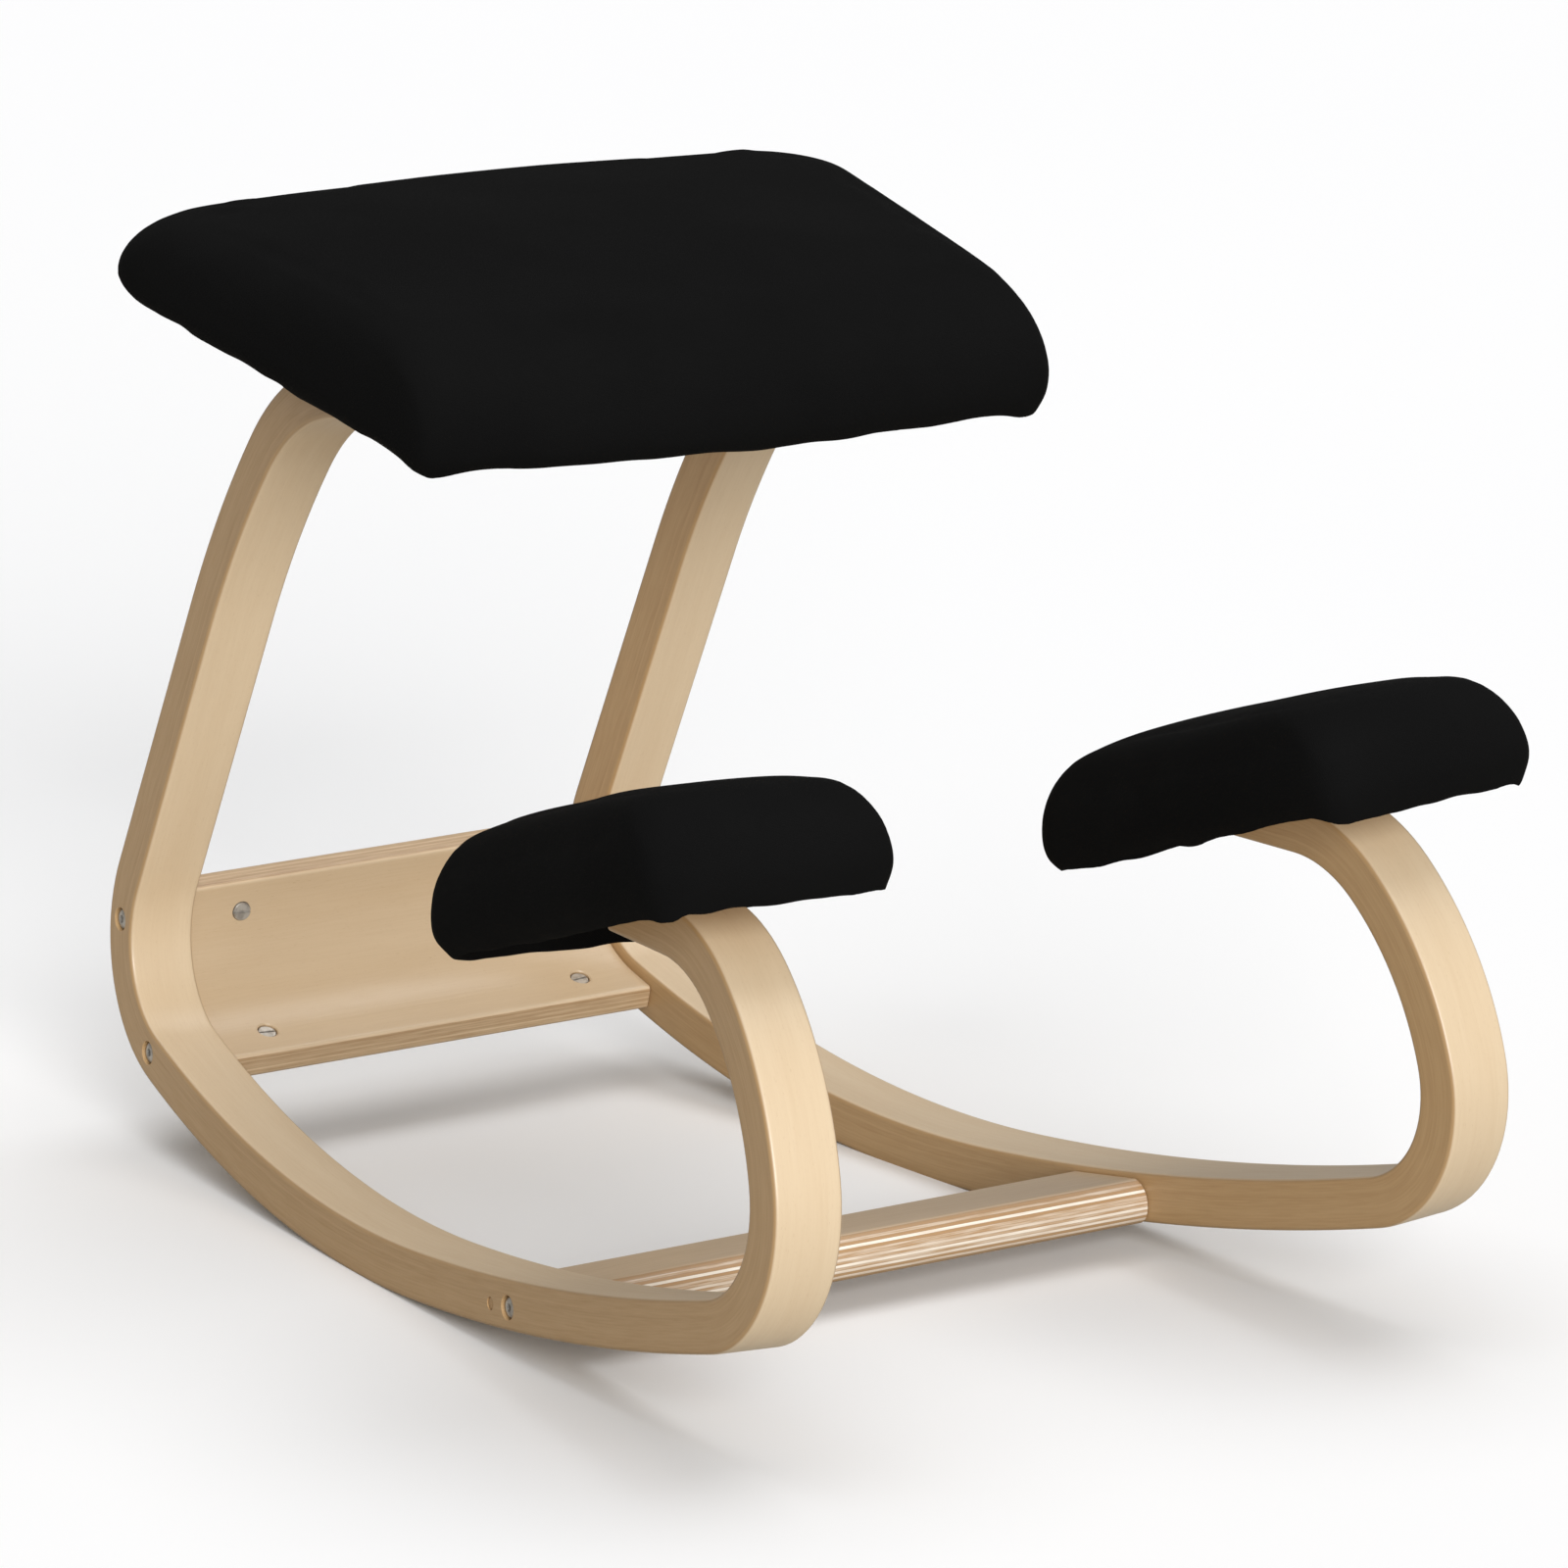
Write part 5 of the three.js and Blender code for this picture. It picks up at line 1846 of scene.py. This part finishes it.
@dataclass(frozen=True)
class CushionForm:
    """The sizes of a cushion. Heights are from the underside of its board."""

    width: float
    depth: float
    middle: float
    foam: Inset
    widening: float
    front_bow: float
    rear_bow: float
    front_skirt: float
    rear_skirt: float
    top_height: float
    crown: float
    front_corner: float
    rear_corner: float
    rounding: Inset
    hem_draw_in: float
    bulge_height: float
    corner_growth: float = 0.3
    hem_allowance: float = 2 * MM
    corner_steps: int = 14
    edge_steps: int = 40
    bulge_rings: int = 6
    rounding_rings: int = 12

    def ring(self, inset: Inset) -> np.ndarray:
        """Outlines the cushion, drawn in from its bulge.

        Args:
            inset: How far the ring is drawn in.

        Returns:
            Rows of x and y about the cushion's middle.
        """
        width = self.width - 2 * inset.side
        depth = self.depth - inset.front - inset.rear
        growth = self.corner_growth * inset.side
        outline = []
        for number, (sx, sy) in enumerate(((1, 1), (-1, 1), (-1, -1), (1, -1))):
            radius = (self.rear_corner if sy > 0 else self.front_corner) + growth
            centre = np.array([sx * (width / 2 - radius), sy * (depth / 2 - radius)])
            for step in range(self.corner_steps + 1):
                angle = (number + step / self.corner_steps) * math.pi / 2
                out = np.array([math.cos(angle), math.sin(angle)])
                outline.append([*(centre + out * radius), *out])
        points = []
        size = self.corner_steps + 1
        for number, here in enumerate(outline):
            points.append(here)
            if (number + 1) % size == 0:
                ahead = outline[(number + 1) % len(outline)]
                for step in range(1, self.edge_steps):
                    share = step / self.edge_steps
                    points.append([a + (b - a) * share for a, b in zip(here, ahead)])
        x, y, _, out_y = np.array(points).T
        y = y + (inset.front - inset.rear) / 2
        wider = 1 + self.widening * y / (self.width * self.depth)
        across = x / (width / 2)
        bow = np.where(out_y > 0, self.rear_bow, self.front_bow)
        return np.stack([x * wider, y + bow * out_y * np.abs(out_y) * (1 - across**2)], 1)

    def raised(self, ring: np.ndarray, heights: object) -> np.ndarray:
        """Lifts a ring to its heights, in the board's frame."""
        z = np.broadcast_to(heights, len(ring))
        return np.stack([ring[:, 0], ring[:, 1] + self.middle, z], 1)

    def hem(self, y: np.ndarray) -> np.ndarray:
        """Returns the hem's height at places measured from the cushion's middle."""
        share = y / self.depth + 0.5
        return -(self.front_skirt + (self.rear_skirt - self.front_skirt) * share)

    def stuffing(self) -> list[np.ndarray]:
        """Makes the rings of the stuffed form.

        Returns:
            The rings, from the hem to the middle of the top.
        """
        drawn = self.hem_draw_in
        ring = self.ring(Inset(drawn, drawn, drawn))
        rings = [self.raised(ring, self.hem(ring[:, 1]) - self.hem_allowance)]
        for share in np.linspace(0, 1, self.bulge_rings):
            drawn = self.hem_draw_in * (1 - math.sin(share * math.pi / 2))
            ring = self.ring(Inset(drawn, drawn, drawn))
            rings.append(self.raised(ring, self.hem(ring[:, 1]) + self.bulge_height * share))
        edge = rings[-1]
        for angle in np.linspace(0, math.pi / 2, self.rounding_rings)[1:]:
            edge = self.ring(self.rounding.part(1 - math.cos(angle)))
            start = self.hem(edge[:, 1]) + self.bulge_height
            rings.append(self.raised(edge, start + (self.top_height - start) * math.sin(angle)))
        for share in TOP_RINGS:
            rings.append(self.raised(edge * share, self.top_height + self.crown * (1 - share**2)))
        return rings


@dataclass
class Cushion:
    """A cushion on its board: a cloth cover over foam, wrapped under the board's edge.

    The board and its pocket follow the form of the CAD model. The cover's own form is fuller.
    """

    name: str
    board: CushionForm
    form: CushionForm
    board_thickness: float = 12 * MM
    board_round: float = 1 * MM
    pocket: float = 0.6 * MM
    pocket_levels: Range = (-0.1 * MM, 0.4 * MM)
    moved: tuple[float, float, float] = (0.0, 0.0, 0.0)
    turned: float = 0.0
    rolled: float = 0.0
    side_arch: float = 0.0
    arch_inset: float = 16 * MM
    arch_fade: float = 12 * MM
    voxel: float = 4.8 * MM
    pressure: float = 4.0
    frames: int = 20
    most_swell: float = 2 * MM
    held_hem: float = 5 * MM
    crease_degrees: float = 50.0
    hem_reach: float = 16 * MM
    tip_droop: float = 3 * MM
    tip_reach: float = 20 * MM
    tip_inset: float = 3 * MM
    sag: float = 0.0
    sagging_side: Side = Side.LEFT
    ripple: float = 1.1 * MM
    ripple_length: float = 36 * MM
    ripple_lift: float = 1.3
    hollow: float = 0.7 * MM
    hollow_scale: float = 0.45
    wrap: float = 25 * MM
    wrap_wave: float = 0.16
    wrap_wave_length: float = 45 * MM
    wrap_thickness: float = 1.2 * MM
    hem_thickness: float = 1.5 * MM
    board_margin: float = 1 * MM
    rail_gap: float = 0.6 * MM
    rail_box: tuple[float, float, float, float] = (0.0, 0.0, 0.0, 0.0)
    seed: float = 0.0

    def _cover(self) -> bpy.types.Object:
        """Makes the cushion's closed cover in the board's frame, swollen by its stuffing.

        Returns:
            The cover.
        """
        cover = loft(f"{self.name}_piece", [ring.tolist() for ring in self.form.stuffing()])
        step = cover.modifiers.new("Remesh", "REMESH")
        step.mode = "VOXEL"
        step.voxel_size = self.voxel
        bake_modifiers(cover)
        self._swell(cover)
        finer = cover.modifiers.new("Subdivision", "SUBSURF")
        finer.levels = 1
        finer.render_levels = 1
        bake_modifiers(cover)
        return cover

    def _swell(self, cover: bpy.types.Object) -> None:
        """Lets the stuffing press the cloth outwards, with the hem held.

        Args:
            cover: The cover.
        """
        rest = coordinates(cover)
        hem = self.form.hem(rest[:, 1] - self.form.middle)
        held = np.nonzero(rest[:, 2] < hem + self.held_hem)[0]
        group = cover.vertex_groups.new(name="hem")
        group.add(held.tolist(), 1.0, "REPLACE")
        cloth = cover.modifiers.new("Cloth", "CLOTH")
        cloth.settings.use_pressure = True
        cloth.settings.uniform_pressure_force = self.pressure
        cloth.settings.vertex_group_mass = group.name
        cloth.settings.effector_weights.gravity = 0
        cloth.point_cache.frame_start = 1
        cloth.point_cache.frame_end = self.frames
        scene = bpy.context.scene
        for number in range(1, self.frames + 1):
            scene.frame_set(number)
        graph = bpy.context.evaluated_depsgraph_get()
        swollen = coordinates(cover.evaluated_get(graph))
        cover.modifiers.clear()
        cover.vertex_groups.clear()
        outward = np.empty(len(rest) * 3)
        cover.data.vertex_normals.foreach_get("vector", outward)
        outward = outward.reshape(-1, 3)
        swell = ((swollen - rest) * outward).sum(1)
        swell = self.most_swell * np.tanh(np.maximum(swell, 0.0) / self.most_swell)
        set_coordinates(cover, rest + outward * swell[:, None])
        scene.frame_set(1)

    def _settle(self, cover: bpy.types.Object) -> None:
        """Lets the cover's corners and hem droop and its top dent, and lays it down.

        Args:
            cover: The cover.
        """
        form = self.form
        places = coordinates(cover)
        x, y, z = places.T
        y = y - form.middle
        low = np.clip(1 - (z - form.hem(y)) / self.hem_reach, 0, 1) ** 2
        half = (form.width / 2) * (1 - form.widening / (2 * form.width))
        corner = np.hypot(np.abs(x) - half + self.tip_inset, y + form.depth / 2 - self.tip_inset)
        droop = self.tip_droop * np.exp(-((corner / self.tip_reach) ** 2)) * low
        lean = np.clip(0.5 + 0.5 * self.sagging_side.value * x / half, 0, 1)
        lean *= np.clip(0.5 - y / form.depth, 0, 1)
        along = np.clip(1 - (2 * y / form.depth) ** 2, 0, 1)
        aside = np.clip((np.abs(x) - half + self.arch_inset) / self.arch_fade, 0, 1)
        offsets = np.zeros_like(places)
        offsets[:, 2] -= droop + self.sag * lean * low
        offsets[:, 2] += self.side_arch * along * aside * low
        outward = np.stack([x / half, y / (form.depth / 2)], 1)
        outward /= np.maximum(np.linalg.norm(outward, axis=1), 1e-9)[:, None]
        first = Vector((self.seed, 0, 0))
        for number, share in enumerate(low):
            spot = Vector(places[number]) / self.ripple_length + first
            soft = noise.noise(spot * self.hollow_scale + Vector((7.0, 3.0, self.seed)))
            if share > 0:
                lift = noise.noise(spot * self.ripple_lift + Vector((0, 5, 0)))
                offsets[number, :2] += outward[number] * noise.noise(spot) * self.ripple * share
                offsets[number, 2] += lift * self.ripple * self.ripple_lift * share
            offsets[number, 2] += soft * self.hollow * (1 - share)
        turn = Matrix.Rotation(math.radians(self.turned), 4, "Z")
        roll = Matrix.Rotation(math.radians(self.rolled), 4, "Y")
        lay = Matrix.Translation(Vector(self.moved)) @ (turn @ roll)
        set_coordinates(cover, transformed(places + offsets, lay))

    def _opening(self) -> bpy.types.Object:
        """Makes the cutter for the room under the cushion, which leaves the cloth's wrapped edge.

        Returns:
            The cutter.
        """
        form, board = self.form, self.board
        outer = form.ring(Inset())
        inner = board.ring(board.foam.grown(self.board_margin)) + (0, board.middle - form.middle)
        inward = inner - outer
        steps = np.linalg.norm(inward, axis=1)
        inward /= np.maximum(steps, 1e-9)[:, None]
        reach = np.empty(len(outer))
        low_x, high_x, low_y, high_y = self.rail_box
        for number, point in enumerate(outer):
            spot = Vector((*(point / self.wrap_wave_length), self.seed + 3.0))
            reach[number] = self.wrap * (1 + self.wrap_wave * noise.noise(spot))
            end = point + inward[number] * reach[number]
            across, ahead = abs(end[0]), end[1] + form.middle
            if low_x < across < high_x and low_y < ahead < high_y:
                reach[number] = steps[number] + self.rail_gap
        hem = form.hem(outer[:, 1])

        def wall(distance: object, height: object) -> np.ndarray:
            """Returns the ring at a distance inward from the bulge, raised to a height."""
            return form.raised(outer + inward * np.reshape(distance, (-1, 1)), height)

        start = form.hem_draw_in + self.hem_thickness
        short = np.minimum(steps * 0.9, reach)
        under = -self.wrap_thickness
        # From under the hem, up behind it, along the board's underside and into the pocket
        rings = [
            wall(start, hem - 12 * MM),
            wall(start + 0.2 * MM, hem - 1 * MM),
            wall(start + 1.2 * MM, hem + 1.2 * MM),
            wall((start + short) / 2 + 0.4 * MM, hem * 0.55),
            wall(short, hem * 0.2 + under),
            wall((short + reach) / 2, under),
            wall(reach - 0.3 * MM, under),
            wall(reach, 0.6 * under),
            wall(reach, 0.5 * MM),
        ]
        return loft("opening", [ring.tolist() for ring in rings])

    def _board_room(self) -> bpy.types.Object:
        """Makes the cutter for the room that the board takes.

        Returns:
            The cutter.
        """
        ring = self.board.ring(self.board.foam.grown(self.pocket))
        below, above = self.pocket_levels
        levels = (below, self.board_thickness + above)
        return loft("board_room", [self.board.raised(ring, level).tolist() for level in levels])

    def build_cover(self, place: Matrix, finishes: Finishes) -> bpy.types.Object:
        """Builds and dresses the cushion.

        Args:
            place: The matrix of the board's frame.
            finishes: The finishes of the chair.

        Returns:
            The new piece.
        """
        cover = self._cover()
        self._settle(cover)
        cut(cover, [self._opening(), self._board_room()])
        set_coordinates(cover, transformed(coordinates(cover), place))
        smooth(cover, self.crease_degrees)
        finishes.dress(cover, Slot.FABRIC, self.name)
        return cover

    def build_board(
        self, name: str, place: Matrix, holes: list[Matrix], parts: Fasteners, finishes: Finishes
    ) -> bpy.types.Object:
        """Builds and dresses the board inside the cushion.

        Args:
            name: The CAD node's name.
            place: The matrix of the board's frame.
            holes: The matrices of its tee nuts' holes.
            parts: The sizes of the fasteners.
            finishes: The finishes of the chair.

        Returns:
            The new piece.
        """
        form, edge, top = self.board, self.board_round, self.board_thickness
        rise = [(-edge, 0.0), (-0.3 * edge, 0.3 * edge), (0.0, edge)]
        levels = rise + [(margin, top - height) for margin, height in reversed(rise)]
        rings = [form.raised(form.ring(form.foam.grown(margin)), height) for margin, height in levels]
        board = loft(f"{name}_piece", [ring.tolist() for ring in rings], place)
        cutters = []
        slack = 0.3 * MM
        for hole in holes:
            floor = top - 2 * slack - parts.tee_flange_thickness
            barrel, flange = parts.tee_barrel / 2 + slack, parts.tee_flange / 2 + slack
            profile = [
                (0.0, -parts.overrun), (barrel, -parts.overrun), (barrel, floor), (flange, floor),
                (flange, top + parts.overrun), (0.0, top + parts.overrun),
            ]
            cutters.append(lathe("tee_hole", profile, hole))
        cut(board, cutters)
        smooth(board)
        local = transformed(coordinates(board), place.inverted())
        save_vectors(board, GRAIN, np.stack([local[:, 1], local[:, 2] - top / 2, local[:, 0]], 1))
        return finishes.dress(board, Slot.PLYWOOD, name)


def seat_form(plan: ChairPlan) -> CushionForm:
    """Sizes the seat's cushion as in CAD, over both rails.

    Args:
        plan: The chair's plan.

    Returns:
        The form.
    """
    runner = plan.runner[Side.LEFT]
    edges = [
        (runner @ plan.rear.place(plan.rear.length, inward, plan.strip_width / 2)).x
        for inward in (-plan.strip_thickness / 2, plan.strip_thickness / 2)
    ]
    foam = Inset(12 * MM, 20 * MM, 18 * MM)
    board_depth, widening = 250 * MM, 66 * MM
    return CushionForm(
        width=2 * (max(edges) + 1 * MM) + 2 * foam.side + widening / 2,
        depth=foam.front + board_depth + foam.rear,
        middle=(board_depth + foam.rear - foam.front) / 2 - 14 * MM,
        foam=foam,
        widening=widening,
        front_bow=18 * MM,
        rear_bow=17 * MM,
        front_skirt=17 * MM,
        rear_skirt=1 * MM,
        top_height=39 * MM,
        crown=8 * MM,
        front_corner=14 * MM,
        rear_corner=50 * MM,
        rounding=Inset(50 * MM, 66 * MM, 49 * MM),
        hem_draw_in=8 * MM,
        bulge_height=10 * MM,
    )


def knee_form() -> CushionForm:
    """Sizes both knee cushions as in CAD.

    Returns:
        The form.
    """
    foam = Inset(9 * MM, 12 * MM, 12 * MM)
    board_width, board_length = 116 * MM, 212 * MM
    return CushionForm(
        width=board_width + 2 * foam.side,
        depth=foam.front + board_length + foam.rear,
        middle=(board_length + foam.rear - foam.front) / 2 - 76 * MM,
        foam=foam,
        widening=0.0,
        front_bow=8 * MM,
        rear_bow=9 * MM,
        front_skirt=8 * MM,
        rear_skirt=10 * MM,
        top_height=45 * MM,
        crown=4 * MM,
        front_corner=14 * MM,
        rear_corner=14 * MM,
        rounding=Inset(33 * MM, 40 * MM, 41 * MM),
        hem_draw_in=5 * MM,
        bulge_height=17 * MM,
        edge_steps=24,
    )


@dataclass
class Upholstery:
    """The seat and both knee rests: a cushion and a board each."""

    plan: ChairPlan
    joinery: Joinery

    def seat_cushion(self) -> Cushion:
        """Shapes the seat's cushion, fuller than in CAD and sunk a little to the sitter's left.

        Returns:
            The cushion.
        """
        board = seat_form(self.plan)
        form = replace(
            board,
            depth=282 * MM,
            front_bow=14 * MM,
            rear_bow=12 * MM,
            front_skirt=20.5 * MM,
            rear_skirt=2.5 * MM,
            top_height=39.8 * MM,
            front_corner=12 * MM,
            rear_corner=36 * MM,
            rounding=Inset(27 * MM, 78 * MM, 41 * MM),
            hem_draw_in=6 * MM,
            bulge_height=8 * MM,
            corner_growth=0.2,
        )
        return Cushion(
            "seat_cushion",
            board,
            form,
            moved=(-1.5 * MM, 1.5 * MM, 0.0),
            turned=-0.5,
            rolled=0.7,
            tip_droop=5.5 * MM,
            sag=4 * MM,
            rail_box=(0.118, 0.19, -0.008, 0.085),
            seed=1.0,
        )

    def knee_cushion(self, side: Side) -> Cushion:
        """Shapes a knee cushion, fuller than in CAD. The right one stands a little higher.

        Args:
            side: The side of the chair.

        Returns:
            The cushion.
        """
        board = knee_form()
        form = replace(
            board,
            depth=238 * MM,
            rear_bow=10 * MM,
            rear_skirt=12 * MM,
            front_skirt=11 * MM,
            top_height=46.3 * MM,
            crown=3.5 * MM,
            front_corner=11 * MM,
            rear_corner=13 * MM,
            rounding=Inset(18 * MM, 38 * MM, 43 * MM),
            hem_draw_in=5.5 * MM,
            bulge_height=14.5 * MM,
        )
        return Cushion(
            f"knee_cushion_{side.label}",
            board,
            form,
            moved=(1 * MM, -1.6 * MM, -1.6 * MM) if side is Side.LEFT else (-3 * MM, 1 * MM, 2.6 * MM),
            rolled=0.8 if side is Side.LEFT else -0.5,
            side_arch=4 * MM,
            voxel=4.2 * MM,
            sag=0.0 if side is Side.LEFT else 3 * MM,
            sagging_side=side,
            ripple_length=24 * MM,
            seed=4.0 + side.value,
        )

    def build(self, finishes: Finishes) -> None:
        """Builds and dresses the three cushions and their boards.

        Args:
            finishes: The finishes of the chair.
        """
        plan, joinery = self.plan, self.joinery
        seat = self.seat_cushion()
        seat.build_cover(plan.seat, finishes)
        holes = [place for side in Side for place in joinery.board_places(side, False)]
        seat.build_board("seat_board", plan.seat, holes, joinery.parts, finishes)
        for side in Side:
            knee = self.knee_cushion(side)
            knee.build_cover(plan.knee[side], finishes)
            holes = joinery.board_places(side, True)
            knee.build_board(f"knee_board_{side.label}", plan.knee[side], holes, joinery.parts, finishes)


# Studio


@dataclass(frozen=True)
class Lamp:
    """A wide soft light. Its strength is in watts per square metre, its angles are in degrees.

    The azimuth runs from +X towards +Y, and the spread is how wide it looks from the chair.
    """

    name: str
    azimuth: float
    elevation: float
    spread: float
    strength: float

    def build(self, target: Vector, distance: float) -> None:
        """Adds the light, which falls evenly over the whole floor.

        Args:
            target: The place that it points at.
            distance: How far from the target its object stands.
        """
        lamp = bpy.data.lights.new(self.name, "SUN")
        lamp.energy = self.strength
        lamp.angle = math.radians(self.spread)
        light = bpy.data.objects.new(self.name, lamp)
        a, e = math.radians(self.azimuth), math.radians(self.elevation)
        away = Vector((math.cos(a) * math.cos(e), math.sin(a) * math.cos(e), math.sin(e)))
        light.location = target + away * distance
        light.rotation_euler = away.to_track_quat("Z", "Y").to_euler()
        bpy.context.scene.collection.objects.link(light)


@dataclass
class Studio:
    """Pale floor, soft lights and a camera at the photograph's angle."""

    eye: tuple[float, float, float] = (-2.583, -3.9755, 1.4308)
    tilt: float = 75.91
    pan: float = -33.29
    lens: float = 225.05
    sensor: float = 36.0
    floor_half: float = 12.0
    target: tuple[float, float, float] = (0.0, 0.0, 0.22)
    light_distance: float = 4.0
    ambient: float = 0.27
    lamps: tuple[Lamp, ...] = (
        Lamp("key", azimuth=-108.0, elevation=18.0, spread=28.0, strength=2.7),
        Lamp("top", azimuth=0.0, elevation=82.0, spread=60.0, strength=1.55),
    )
    floor_finish: FloorFinish = FloorFinish(
        "pale_floor", colour=(253, 253, 253), cloudy=(251, 251, 252), thrown=(186, 182, 174)
    )

    def _surroundings(self) -> None:
        """Makes the white surroundings, which light the chair less than they look."""
        world = bpy.data.worlds.new("studio")
        bpy.context.scene.world = world
        world.use_nodes = True
        w = Wiring(world.node_tree)
        sky = world.node_tree.nodes["Background"]
        sky.inputs["Color"].default_value = (1.0, 1.0, 1.0, 1.0)
        seen = w.node("ShaderNodeLightPath").outputs["Is Camera Ray"]
        w.feed(sky.inputs["Strength"], w.ramp(seen, 0.0, 1.0, self.ambient, 1.0))

    def build(self) -> None:
        """Builds the floor, the lights, the pale surroundings and the camera."""
        half = self.floor_half
        corners = [(-half, -half, 0.0), (half, -half, 0.0), (half, half, 0.0), (-half, half, 0.0)]
        floor = mesh_object("floor", corners, [[0, 1, 2, 3]])
        floor.data.materials.append(self.floor_finish.build())
        for lamp in self.lamps:
            lamp.build(Vector(self.target), self.light_distance)
        self._surroundings()
        bpy.context.scene.view_settings.view_transform = "Standard"
        lens = bpy.data.cameras.new("camera")
        lens.lens = self.lens
        lens.sensor_width = self.sensor
        lens.clip_end = 100.0
        camera = bpy.data.objects.new("camera", lens)
        camera.location = self.eye
        camera.rotation_euler = (math.radians(self.tilt), 0.0, math.radians(self.pan))
        bpy.context.scene.collection.objects.link(camera)
        bpy.context.scene.camera = camera


def main() -> None:
    """Builds the whole scene in order."""
    logging.basicConfig(level=logging.INFO, format="%(name)s %(message)s")
    plan = ChairPlan()
    joinery = Joinery(plan)
    finishes = Finishes()
    for side in Side:
        Runner(plan, joinery).build(side, finishes)
    RearPanel(plan, joinery).build(finishes)
    FrontCrossbar(plan, joinery).build(finishes)
    joinery.build(finishes)
    Upholstery(plan, joinery).build(finishes)
    Studio().build()


if __name__ == "__main__":
    main()
